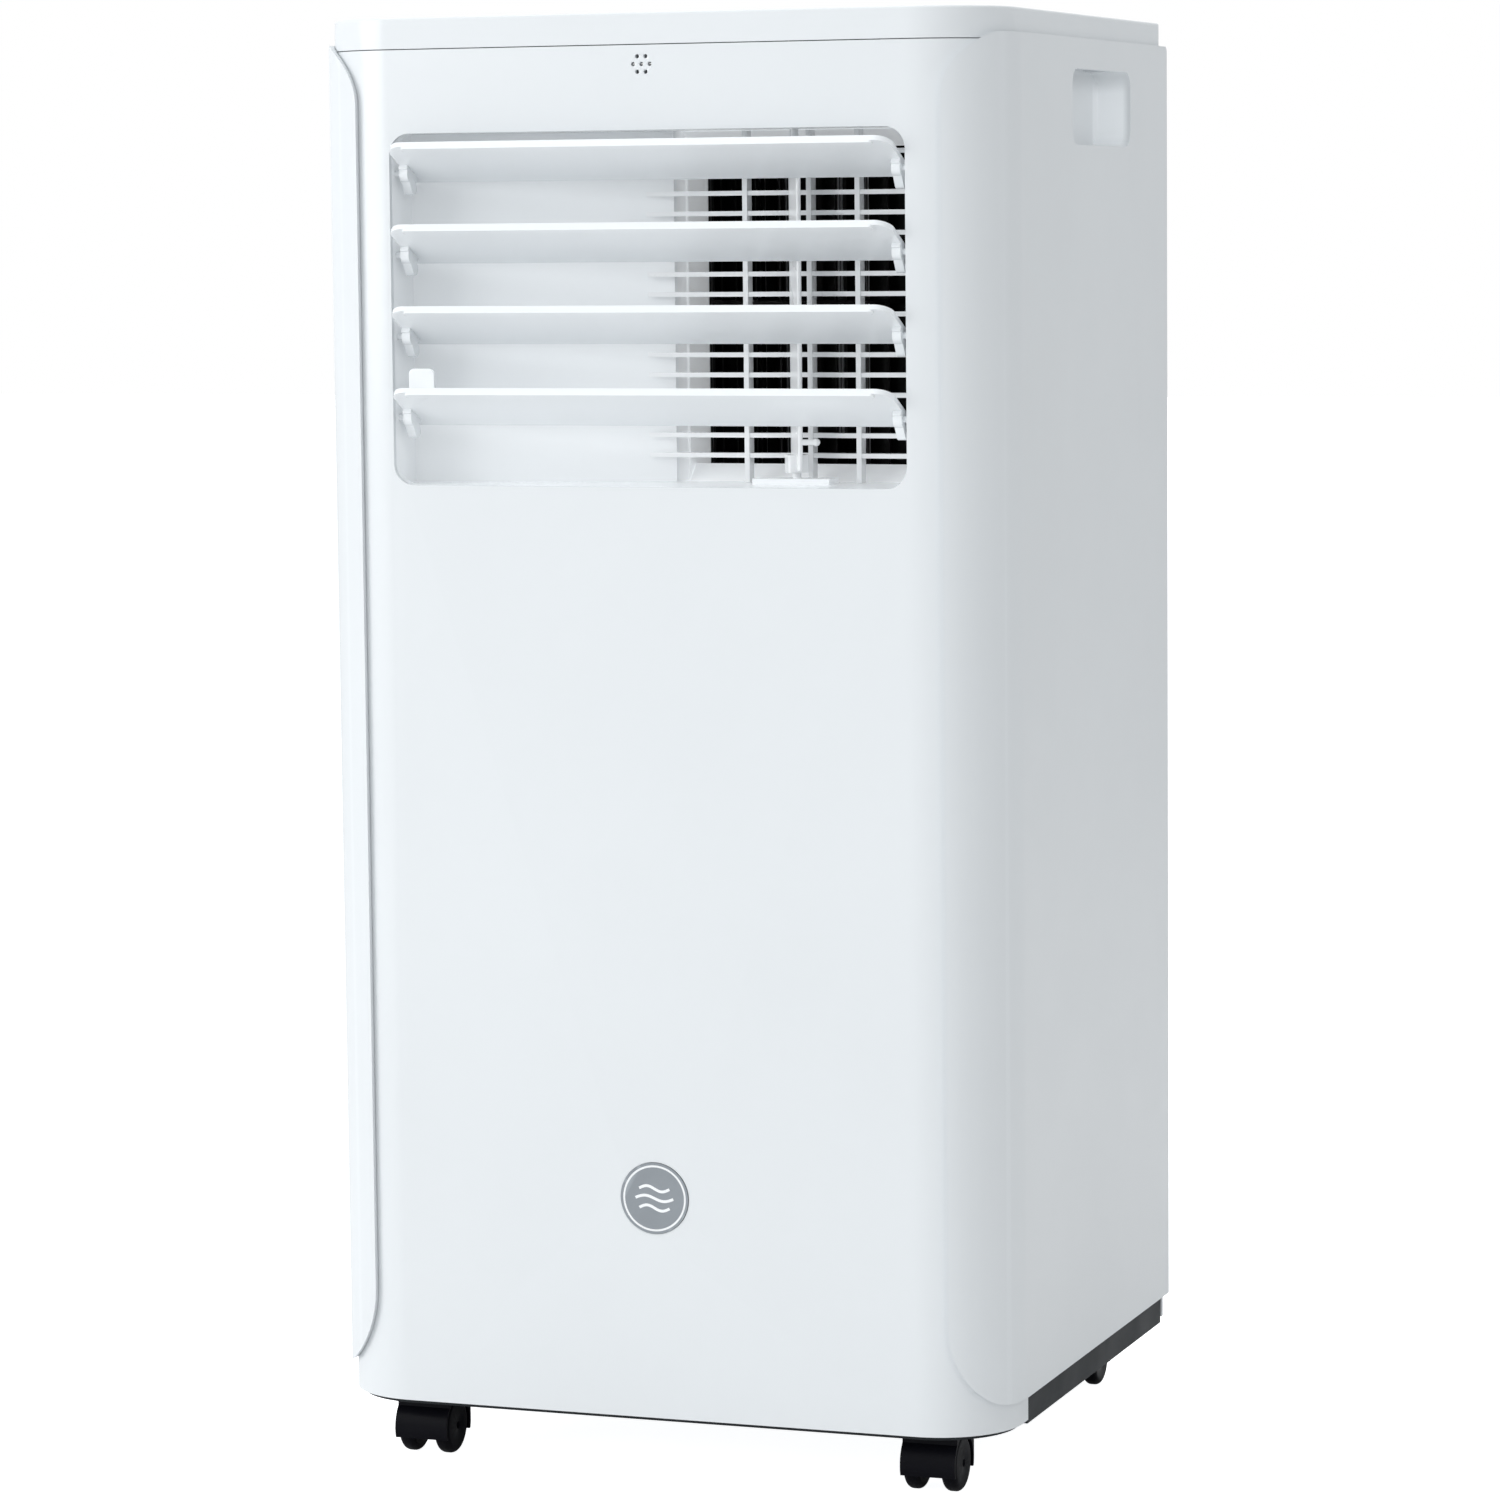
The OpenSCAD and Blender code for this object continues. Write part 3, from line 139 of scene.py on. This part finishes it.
def add_floor():
    mesh = bpy.data.meshes.new("studio_floor")
    half = FLOOR_HALF
    corners = [(-half, -half, 0), (half, -half, 0), (half, half, 0), (-half, half, 0)]
    mesh.from_pydata(corners, [], [(0, 1, 2, 3)])
    floor = bpy.data.objects.new("studio_floor", mesh)
    bpy.context.scene.collection.objects.link(floor)
    paint = Paint("floor_white")
    tones = [(tone, tone, tone) for tone in FLOOR_TONES]
    paint.color(paint.ramp(paint.noise(3.0, detail=3), list(zip(NOISE_RANGE, tones))))
    paint.set("Roughness", 0.9)
    paint.set("Specular IOR Level", 0.0)
    seen = paint.node("ShaderNodeLightPath").outputs["Is Camera Ray"]
    paint.shine(FLOOR_TINT, paint.remap(seen, 0.0, 1.0, *FLOOR_SHINE))
    mesh.materials.append(paint.material)


# ---------------------------------------------------------------- materials

# Nearly all values of a noise texture lie in this range
NOISE_RANGE = (0.3, 0.7)

# A wave texture of scale s repeats every pi / (WAVES_PER_SCALE * s) metres
WAVES_PER_SCALE = 10

# Noise scales of moulded plastic, per metre: its fine grain and its sink marks
GRAIN_SCALE = 1400.0
SINK_SCALE = 16.0

# Handle recesses in the side panels, in metres. What lies deeper than WELL_FACE_X and behind
# WELL_FRONT_Y glows, least from WELL_TOP_Z up and most on the rear end, from WELL_END_Y on.
WELL_FACE_X = 0.1705
WELL_FRONT_Y = -0.028
WELL_TOP_Z = 0.664
WELL_END_Y = (0.071, 0.0765)
WELL_FADE_X, WELL_FADE_Y, WELL_FADE_Z = 0.003, 0.005, 0.008
WELL_TOP_SHARE = 0.1
WELL_END_SHARE = (0.6, 1.6)
WELL_GLOW = 0.17

# Outlet duct, in metres. The duct is painted black, as painted shade, from the first depth below
# back round the fan; in front of that it glows as painted light, rising over BEND_Y.
DUCT_SHADE_Y = -0.064
DUCT_SHADE_BLACK = (0.006, 0.006, 0.006)
BEND_Y = (-0.0935, -0.0885)
BEND_GLOW = (0.08, 0.22)


class Paint:
    """A Principled material with helpers for the procedural nodes that feed it."""

    def __init__(self, name):
        self.material = bpy.data.materials.new(name)
        self.material.use_nodes = True
        self.tree = self.material.node_tree
        self.shader = self.tree.nodes["Principled BSDF"]
        self.coords = self.tree.nodes.new("ShaderNodeTexCoord").outputs["Object"]
        self.normal = None

    def node(self, kind, **values):
        made = self.tree.nodes.new(kind)
        for key, value in values.items():
            setattr(made, key, value)
        return made

    def link(self, source, socket):
        self.tree.links.new(source, socket)

    def set(self, socket, value):
        self.shader.inputs[socket].default_value = value

    def place(self):
        """The X, Y and Z sockets of the frame's coordinates in metres."""
        split = self.node("ShaderNodeSeparateXYZ")
        self.link(self.coords, split.inputs[0])
        return split.outputs

    def scaled(self, scale):
        mapping = self.node("ShaderNodeMapping")
        self.link(self.coords, mapping.inputs["Vector"])
        mapping.inputs["Scale"].default_value = scale
        return mapping.outputs["Vector"]

    def noise(self, scale, detail=2.0, rough=0.5, stretch=None):
        made = self.node("ShaderNodeTexNoise")
        self.link(self.scaled(stretch) if stretch else self.coords, made.inputs["Vector"])
        made.inputs["Scale"].default_value = scale
        made.inputs["Detail"].default_value = detail
        made.inputs["Roughness"].default_value = rough
        return made.outputs["Fac"]

    def cells(self, scale, feature="F1"):
        made = self.node("ShaderNodeTexVoronoi", feature=feature)
        self.link(self.coords, made.inputs["Vector"])
        made.inputs["Scale"].default_value = scale
        return made.outputs["Distance"]

    def stripes(self, axis, pitch):
        """A wave along one axis with that pitch in metres."""
        made = self.node("ShaderNodeTexWave", wave_type="BANDS", bands_direction=axis)
        self.link(self.coords, made.inputs["Vector"])
        made.inputs["Scale"].default_value = math.pi / (WAVES_PER_SCALE * pitch)
        return made.outputs["Fac"]

    def edges(self, low, high):
        """0 on flat ground, 1 on outer edges."""
        geometry = self.node("ShaderNodeNewGeometry")
        return self.remap(geometry.outputs["Pointiness"], low, high, 0.0, 1.0)

    def remap(self, source, a, b, lo, hi):
        made = self.node("ShaderNodeMapRange")
        self.link(source, made.inputs["Value"])
        for key, value in zip(MAP_SOCKETS, (a, b, lo, hi)):
            made.inputs[key].default_value = value
        return made.outputs["Result"]

    def ramp(self, source, stops):
        made = self.node("ShaderNodeValToRGB")
        ramp = made.color_ramp
        while len(ramp.elements) < len(stops):
            ramp.elements.new(0.5)
        for element, (place, tint) in zip(ramp.elements, stops):
            element.position = place
            element.color = (*tint, 1)
        self.link(source, made.inputs["Fac"])
        return made.outputs["Color"]

    def mix(self, fac, a, b):
        made = self.node("ShaderNodeMix", data_type="RGBA")
        inputs = [s for s in made.inputs if s.type == "RGBA"]
        self.link(fac, made.inputs["Factor"])
        for socket, value in zip(inputs, (a, b)):
            if isinstance(value, tuple):
                socket.default_value = (*value, 1)
            else:
                self.link(value, socket)
        return [s for s in made.outputs if s.type == "RGBA"][0]

    def math(self, operation, a, b):
        made = self.node("ShaderNodeMath", operation=operation)
        for socket, value in zip(made.inputs, (a, b)):
            if isinstance(value, (int, float)):
                socket.default_value = value
            else:
                self.link(value, socket)
        return made.outputs[0]

    def product(self, *factors):
        result = factors[0]
        for factor in factors[1:]:
            result = self.math("MULTIPLY", result, factor)
        return result

    def color(self, source):
        self.link(source, self.shader.inputs["Base Color"])

    def drift(self, tint):
        """The slow drift of tone in moulded plastic."""
        noise = self.noise(7.0, detail=4)
        return self.ramp(noise, [(0.25, shade(tint, 0.985)), (0.75, shade(tint, 1.012))])

    def shine(self, tint, strength):
        self.set("Emission Color", tint)
        self.link(strength, self.shader.inputs["Emission Strength"])

    def rough(self, source, lo, hi):
        self.link(self.remap(source, *NOISE_RANGE, lo, hi), self.shader.inputs["Roughness"])

    def bump(self, height, strength, depth):
        made = self.node("ShaderNodeBump")
        made.inputs["Strength"].default_value = strength
        made.inputs["Distance"].default_value = depth
        self.link(height, made.inputs["Height"])
        if self.normal is not None:
            self.link(self.normal, made.inputs["Normal"])
        self.normal = made.outputs["Normal"]
        self.link(self.normal, self.shader.inputs["Normal"])


def shade(tint, factor):
    return tuple(min(1.0, c * factor) for c in tint)


def light_wells(paint, tint):
    """Lets the handle recesses of the side panels glow a little, as the soft light in them does."""
    place = paint.place()
    depth = paint.math("ABSOLUTE", place["X"], 0.0)
    inside = paint.remap(depth, WELL_FACE_X - WELL_FADE_X, WELL_FACE_X, 1.0, 0.0)
    behind = paint.remap(place["Y"], WELL_FRONT_Y - WELL_FADE_Y, WELL_FRONT_Y, 0.0, 1.0)
    below = paint.remap(place["Z"], WELL_TOP_Z - WELL_FADE_Z, WELL_TOP_Z, 1.0, WELL_TOP_SHARE)
    rear_end = paint.remap(place["Y"], *WELL_END_Y, *WELL_END_SHARE)
    paint.shine((*tint, 1), paint.product(inside, behind, below, rear_end, WELL_GLOW))


def plastic(name, tint, rough=(0.30, 0.38), grain_depth=0.00003, wave=0.0, coat=0.0,
            edge=1.03, glow=0.0, gloss=0.5, wells=False):
    """Moulded plastic: faint tone drift, fine spark-eroded grain, sink marks, lighter edges."""
    paint = Paint(name)
    paint.color(paint.mix(paint.edges(0.52, 0.60), paint.drift(tint), shade(tint, edge)))
    paint.rough(paint.noise(26.0, detail=5), *rough)
    if wave:
        paint.bump(paint.noise(SINK_SCALE, detail=1), 0.5, wave)
    paint.bump(paint.noise(GRAIN_SCALE), 0.35, grain_depth)
    paint.set("Specular IOR Level", gloss)
    paint.set("IOR", 1.49)
    if coat:
        paint.set("Coat Weight", coat)
        paint.set("Coat Roughness", 0.12)
    if wells:
        light_wells(paint, tint)
    if glow:
        paint.set("Subsurface Weight", glow)
        paint.set("Subsurface Radius", (0.004, 0.004, 0.004))
        paint.set("Subsurface Scale", 0.6)
    return paint.material


def duct_casing_with_painted_shade(name, tint):
    """Glossy moulded duct whose part deep round the fan is painted black as painted shade.

    In front of that black it glows a little as painted light in place of scattered light, most by
    the fan.
    """
    paint = Paint(name)
    depth = paint.place()["Y"]
    # Behind the first depth the duct is painted black: painted shade deep in the duct round the fan
    deep_shade = paint.remap(depth, DUCT_SHADE_Y, DUCT_SHADE_Y + MM, 0.0, 1.0)
    paint.color(paint.mix(deep_shade, paint.drift(tint), DUCT_SHADE_BLACK))
    paint.link(paint.remap(deep_shade, 0.0, 1.0, 0.18, 0.8), paint.shader.inputs["Roughness"])
    paint.bump(paint.noise(SINK_SCALE, detail=1), 0.5, 0.0002)
    paint.bump(paint.noise(GRAIN_SCALE), 0.35, 0.00001)
    paint.set("Specular IOR Level", 0.4)
    bend = paint.remap(depth, *BEND_Y, *BEND_GLOW)
    paint.shine((*tint, 1), paint.product(bend, paint.remap(deep_shade, 0.0, 1.0, 1.0, 0.0)))
    return paint.material


def metal(name, tint, rough=(0.25, 0.42), brush=None, depth=0.00002, spot=0.9):
    """Sheet or turned metal: brushed or mottled, with duller patches."""
    paint = Paint(name)
    patch = paint.noise(22.0, detail=6, rough=0.6)
    base = paint.ramp(patch, [(0.3, shade(tint, spot)), (0.7, tint)])
    paint.color(paint.mix(paint.edges(0.52, 0.62), base, shade(tint, 1.2)))
    paint.set("Metallic", 1.0)
    paint.rough(paint.noise(60.0, detail=4), *rough)
    if brush:
        paint.bump(paint.noise(500.0, detail=3, stretch=brush), 0.5, depth)
    else:
        paint.bump(paint.cells(420.0), 0.3, depth)
    return paint.material


def enamel(name, tint, rough=(0.22, 0.38)):
    """Sprayed enamel on steel with orange peel and rubbed edges."""
    paint = Paint(name)
    tones = [(0.3, shade(tint, 0.8)), (0.7, shade(tint, 1.25))]
    base = paint.ramp(paint.noise(30.0, detail=5), tones)
    paint.color(paint.mix(paint.edges(0.53, 0.62), base, shade(tint, 2.4)))
    paint.rough(paint.noise(90.0, detail=3), *rough)
    paint.bump(paint.noise(420.0, detail=1), 0.4, 0.00006)
    return paint.material


def rubber(name, tint):
    paint = Paint(name)
    tones = [(0.3, shade(tint, 0.8)), (0.7, shade(tint, 1.3))]
    base = paint.ramp(paint.noise(40.0, detail=5), tones)
    paint.color(paint.mix(paint.edges(0.53, 0.62), base, shade(tint, 1.9)))
    paint.rough(paint.noise(200.0, detail=3), 0.6, 0.8)
    paint.bump(paint.noise(1600.0, detail=2), 0.5, 0.00004)
    paint.set("Specular IOR Level", 0.35)
    return paint.material


def fins(name, tint, pitch):
    """Edges of many thin aluminium sheets across X with painted shade between them, and a few bent
    ones.
    """
    paint = Paint(name)
    wave = paint.stripes("X", pitch)
    bent = paint.noise(45.0, detail=3)
    # The dark bands between the sheets' edges are painted shade in the gaps
    gap_shade = paint.ramp(wave, [(0.25, shade(tint, 0.22)), (0.7, tint)])
    # The bent sheets are painted darker, as painted shade
    paint.color(paint.mix(paint.remap(bent, 0.62, 0.75, 0.0, 1.0), gap_shade, shade(tint, 0.75)))
    paint.set("Metallic", 0.85)
    paint.rough(bent, 0.3, 0.5)
    paint.bump(wave, 0.9, 0.0006)
    return paint.material


def mesh_screen(name, tint, pitch):
    """Woven nylon screen in X and Z, painted dark in its openings as painted shade."""
    paint = Paint(name)
    over = paint.math("MAXIMUM", paint.stripes("X", pitch), paint.stripes("Z", pitch))
    # The openings between threads are painted dark: painted shade seen through them
    base = paint.ramp(over, [(0.35, shade(tint, 0.25)), (0.8, tint)])
    dust = paint.noise(14.0, detail=6, rough=0.65)
    paint.color(paint.mix(paint.remap(dust, 0.55, 0.8, 0.0, 0.25), base, (0.35, 0.35, 0.34)))
    paint.rough(dust, 0.55, 0.75)
    paint.bump(over, 0.8, 0.0003)
    return paint.material


def circuit(name, tint):
    """Solder mask over copper tracks, with tinned pads."""
    paint = Paint(name)
    tracks = paint.cells(150.0, feature="DISTANCE_TO_EDGE")
    base = paint.ramp(tracks, [(0.03, shade(tint, 1.7)), (0.10, tint)])
    pads = paint.remap(paint.cells(330.0), 0.10, 0.13, 1.0, 0.0)
    paint.color(paint.mix(pads, base, (0.62, 0.60, 0.52)))
    paint.rough(paint.noise(80.0, detail=3), 0.25, 0.4)
    paint.bump(tracks, 0.3, 0.0001)
    return paint.material


def display(name):
    """Smoked window: deep gloss black with faint finger marks."""
    paint = Paint(name)
    smear = paint.noise(120.0, detail=5, rough=0.6)
    paint.color(paint.ramp(smear, [(0.3, (0.008, 0.009, 0.011)), (0.8, (0.016, 0.017, 0.02))]))
    paint.rough(smear, 0.04, 0.16)
    paint.bump(paint.noise(300.0, detail=1), 0.1, 0.00001)
    paint.set("Coat Weight", 0.6)
    paint.set("Coat Roughness", 0.04)
    return paint.material


def make_materials():
    white = (0.755, 0.779, 0.797)
    brushed_x = (0.05, 1.0, 1.0)
    brushed_z = (1.0, 1.0, 0.05)
    return {
        "white_shell": plastic("white_shell", white, wave=0.0002, coat=0.25),
        "side_white": plastic("side_white", shade(white, 0.985), wave=0.0002, coat=0.25,
                              wells=True),
        "cover_white": plastic("cover_white", white, wave=0.0001, coat=0.25),
        "rear_white": plastic("rear_white", shade(white, 0.93), rough=(0.42, 0.55),
                              grain_depth=0.00006),
        "louver_white": plastic("louver_white", (0.86, 0.885, 0.905), rough=(0.10, 0.16),
                                coat=0.6, grain_depth=0.00001, glow=0.15),
        "guard_white": plastic("guard_white", (0.93, 0.94, 0.95), rough=(0.2, 0.3), coat=0.3),
        "casing_ivory": duct_casing_with_painted_shade("casing_ivory", (0.91, 0.93, 0.945)),
        "control_grey": plastic("control_grey", (0.20, 0.215, 0.235), rough=(0.22, 0.34), coat=0.4),
        "display_black": display("display_black"),
        "key_white": plastic("key_white", (0.80, 0.82, 0.84), rough=(0.25, 0.35), coat=0.3),
        "badge_grey": metal("badge_grey", (0.32, 0.345, 0.37), rough=(0.30, 0.42),
                            brush=brushed_x),
        "board_green": circuit("board_green", (0.02, 0.10, 0.04)),
        "pan_grey": plastic("pan_grey", (0.020, 0.022, 0.024), rough=(0.45, 0.6),
                            grain_depth=0.00008, edge=1.6, gloss=0.12),
        "fan_black": plastic("fan_black", (0.002, 0.002, 0.002), rough=(0.28, 0.42), edge=1.5,
                             gloss=0.1),
        "scroll_grey": plastic("scroll_grey", (0.42, 0.43, 0.44), rough=(0.4, 0.55)),
        "deck_grey": plastic("deck_grey", (0.33, 0.34, 0.35), rough=(0.4, 0.55)),
        "fin_aluminium": fins("fin_aluminium", (0.72, 0.73, 0.74), 0.0016),
        "tube_copper": metal("tube_copper", (0.66, 0.31, 0.18), rough=(0.22, 0.4), spot=0.6),
        "motor_steel": metal("motor_steel", (0.50, 0.51, 0.53), spot=0.8),
        "link_steel": metal("link_steel", (0.55, 0.56, 0.58), brush=brushed_z),
        "shell_black": enamel("shell_black", (0.02, 0.02, 0.022)),
        "rubber_black": rubber("rubber_black", (0.018, 0.018, 0.019)),
        "can_aluminium": metal("can_aluminium", (0.68, 0.69, 0.70), brush=brushed_z),
        "box_steel": metal("box_steel", (0.56, 0.58, 0.60), rough=(0.35, 0.55), spot=0.75),
        "filter_mesh": mesh_screen("filter_mesh", (0.055, 0.07, 0.085), 0.0014),
        "caster_black": plastic("caster_black", (0.004, 0.004, 0.006), rough=(0.30, 0.42),
                                grain_depth=0.00004, edge=1.6, gloss=0.07),
        "inlet_grey": rubber("inlet_grey", (0.05, 0.05, 0.054)),
        "slinger_white": plastic("slinger_white", (0.72, 0.73, 0.73), rough=(0.35, 0.5)),
        "print_white": plastic("print_white", (0.88, 0.89, 0.90), rough=(0.4, 0.5),
                               grain_depth=0.00001),
        "segment_dim": plastic("segment_dim", (0.05, 0.055, 0.06), rough=(0.3, 0.4)),
    }


def paint_nodes(materials):
    for part in frame["record"]["subparts"]:
        mesh = NODES[part["node"]].data
        mesh.materials.clear()
        mesh.materials.append(materials[part["material_slot"]])


# ---------------------------------------------------------------- rounded edges

# Width of each piece's rounded edges in mm; the others stay as CAD made them
EDGE_MM = {
    "front_panel": 0.3, "left_side_panel": 0.9, "right_side_panel": 0.9, "top_cover": 0.3,
    "rear_panel": 0.5, "base_pan": 0.6, "louver_1": 0.45, "louver_2": 0.45, "louver_3": 0.45,
    "louver_4": 0.45, "outlet_grille": 0.4, "fan_casing": 0.4, "vertical_vane": 0.3,
    "upper_grille": 0.35, "lower_grille": 0.35, "exhaust_collar": 0.6, "cord_inlet": 0.5,
    "drain_plug": 0.5, "control_panel": 0.3, "button_power": 0.35, "button_mode": 0.35,
    "button_fan": 0.35, "button_up": 0.35, "button_down": 0.35, "badge": 0.15,
    "caster_hood_fl": 0.6, "caster_hood_fr": 0.6, "caster_hood_rl": 0.6, "caster_hood_rr": 0.6,
    "condenser_scroll": 0.5, "scroll_cover": 0.5, "mid_deck": 0.5, "louver_link": 0.3,
    "control_box": 0.4, "fan_casing_lid": 0.4,
}
EDGE_ANGLE = 32  # degrees, the least turn between two faces that is rounded
EDGE_SEGMENTS = 2
WELD_DISTANCE = 0.00001  # metres
NORMAL_WEIGHT = 50


def round_edges():
    for name, node in NODES.items():
        bpy.context.view_layer.objects.active = node
        if node.data.has_custom_normals:
            bpy.ops.mesh.customdata_custom_splitnormals_clear()
        node.data.shade_smooth()
        weld = node.modifiers.new("weld", "WELD")
        weld.merge_threshold = WELD_DISTANCE
        width = EDGE_MM.get(name)
        if width:
            bevel = node.modifiers.new("edge_radius", "BEVEL")
            bevel.limit_method = "ANGLE"
            bevel.angle_limit = math.radians(EDGE_ANGLE)
            bevel.width = width * MM
            bevel.segments = EDGE_SEGMENTS
            bevel.use_clamp_overlap = True
        smooth = node.modifiers.new("normals", "WEIGHTED_NORMAL")
        smooth.keep_sharp = True
        smooth.weight = NORMAL_WEIGHT


# ---------------------------------------------------------------- small printed and moulded marks

# All in mm. Each mark starts at its sunk depth under the face that carries it: the ring on the
# bottom of the badge's groove, the others a little inside their ground, so that no gap shows.
RING_RADIUS, RING_WIDTH, RING_SUNK, RING_THICK = 15.3, 1.0, 0.32, 0.22
WAVE_WIDTH, WAVE_SUNK, WAVE_THICK = 1.35, 0.05, 0.12
WAVE_SWING = 1.3
WAVE_STEPS = 32
WAVES = ((-4.6, 7.6), (0.0, 9.5), (4.6, 7.6))  # level on the badge and half length
SIGN_WIDTH, SIGN_SUNK, SIGN_THICK = 0.55, 0.03, 0.08
SIGN_BEHIND_KEY = 12.5
DIGIT_HALF_WIDTH, DIGIT_HALF_HEIGHT, DIGIT_GAP = 4.2, 6.2, 0.7
DIGIT_SHIFT = 7.4
DIGIT_SLANT = 0.08
BAR_WIDTH, BAR_SUNK, BAR_THICK = 1.2, 0.02, 0.03


def stroke(build, path, width, place, closed=False, thick=0.05):
    """Adds a flat ribbon of that width along a 2-D path in mm to a bmesh, raised by thick.

    place turns (a, b, height) in mm into a point in metres.
    """
    count = len(path)
    rows = []
    for i, point in enumerate(path):
        before = path[(i - 1) % count] if closed or i > 0 else point
        after = path[(i + 1) % count] if closed or i < count - 1 else point
        run = (Vector(after) - Vector(before)).normalized()
        side = Vector((-run.y, run.x)) * (width / 2)
        rows.append([build.verts.new(place(*(Vector(point) + s * side), h))
                     for s, h in ((-1, 0.0), (-1, thick), (1, thick), (1, 0.0))])
    spans = count if closed else count - 1
    for i in range(spans):
        a, b = rows[i], rows[(i + 1) % count]
        for k in range(4):
            build.faces.new((a[k], a[(k + 1) % 4], b[(k + 1) % 4], b[k]))
    if not closed:
        build.faces.new(rows[0][::-1])
        build.faces.new(rows[-1])


def arc(center, radius, start, end, steps=24):
    turn = [math.radians(start + (end - start) * i / steps) for i in range(steps + 1)]
    return [(center[0] + radius * math.cos(t), center[1] + radius * math.sin(t)) for t in turn]


def circle(center, radius, steps=48):
    return arc(center, radius, 0, 360, steps)[:-1]


def finish_piece(name, build, material, body):
    bmesh.ops.recalc_face_normals(build, faces=build.faces)
    mesh = bpy.data.meshes.new(name)
    build.to_mesh(mesh)
    build.free()
    mesh.materials.append(material)
    piece = bpy.data.objects.new(name, mesh)
    bpy.context.scene.collection.objects.link(piece)
    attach(piece, body)


def add_badge_marks(materials):
    """A plain rim ring in the round badge's groove and three air-flow waves on its face."""
    low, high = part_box("badge")
    center = ((low[0] + high[0]) / 2, (low[2] + high[2]) / 2)
    face = low[1]

    def raised_from(sunk):
        return lambda a, b, height: (center[0] + a * MM, face + (sunk - height) * MM,
                                     center[1] + b * MM)

    ring = bmesh.new()
    ring_path = circle((0, 0), RING_RADIUS, 96)
    stroke(ring, ring_path, RING_WIDTH, raised_from(RING_SUNK), closed=True, thick=RING_THICK)
    finish_piece("badge_ring", ring, materials["print_white"], "cabinet")
    waves = bmesh.new()
    for level, half in WAVES:
        path = [(-half + 2 * half * i / WAVE_STEPS,
                 level + WAVE_SWING * math.sin(2 * math.pi * i / WAVE_STEPS))
                for i in range(WAVE_STEPS + 1)]
        stroke(waves, path, WAVE_WIDTH, raised_from(WAVE_SUNK), thick=WAVE_THICK)
    finish_piece("badge_waves", waves, materials["print_white"], "cabinet")


def add_key_marks(materials):
    """Generic signs on the control strip behind each key."""
    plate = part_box("control_panel")[1][2]

    def marks_at(key):
        low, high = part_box(key)
        x, y = (low[0] + high[0]) / 2, (low[1] + high[1]) / 2
        return lambda u, v, height: (x + u * MM, y + (SIGN_BEHIND_KEY + v) * MM,
                                     plate + (height - SIGN_SUNK) * MM)

    def ray(length, turn):
        return (length * math.cos(turn), length * math.sin(turn))

    # Each sign is a list of paths in mm, each with whether it is closed
    signs = {
        "button_power": [(arc((0, 0), 2.6, 125, 415), False), ([(0, 0.6), (0, 3.4)], False)],
        "button_mode": [([ray(2.8, t), ray(-2.8, t)], False)
                        for t in (math.pi / 6, math.pi / 2, 5 * math.pi / 6)],
        "button_fan": [(circle((0, 0), 0.7, 20), True)] + [
            (arc(ray(1.7, t), 1.25, math.degrees(t) - 160, math.degrees(t) + 110, 16), False)
            for t in (0.5, 2.6, 4.7)],
        "button_up": [([(-2.4, -1.2), (0, 1.6), (2.4, -1.2)], False)],
        "button_down": [([(-2.4, 1.2), (0, -1.6), (2.4, 1.2)], False)],
    }
    build = bmesh.new()
    for key, paths in signs.items():
        place = marks_at(key)
        for path, closed in paths:
            stroke(build, path, SIGN_WIDTH, place, closed=closed, thick=SIGN_THICK)
    finish_piece("key_signs", build, materials["print_white"], "cabinet")


def add_display_digits(materials):
    """Two unlit seven-segment digits that show faintly in the window."""
    low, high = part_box("display_window")
    x, y, top = (low[0] + high[0]) / 2, (low[1] + high[1]) / 2, high[2]
    build = bmesh.new()
    w, h, gap = DIGIT_HALF_WIDTH, DIGIT_HALF_HEIGHT, DIGIT_GAP
    bars = [((-w + gap, level), (w - gap, level)) for level in (h, 0, -h)]
    bars += [((s * w, t * h - t * gap), (s * w, t * gap)) for s in (-1, 1) for t in (-1, 1)]

    for shift in (-DIGIT_SHIFT, DIGIT_SHIFT):
        def place(u, v, height, shift=shift):
            return (x + (u + shift + DIGIT_SLANT * v) * MM, y + v * MM,
                    top + (height - BAR_SUNK) * MM)
        for bar in bars:
            stroke(build, bar, BAR_WIDTH, place, thick=BAR_THICK)
    finish_piece("display_segments", build, materials["segment_dim"], "cabinet")


# ---------------------------------------------------------------- build

add_camera()
add_light()
add_floor()
MATERIALS = make_materials()
paint_nodes(MATERIALS)
round_edges()
add_badge_marks(MATERIALS)
add_key_marks(MATERIALS)
add_display_digits(MATERIALS)
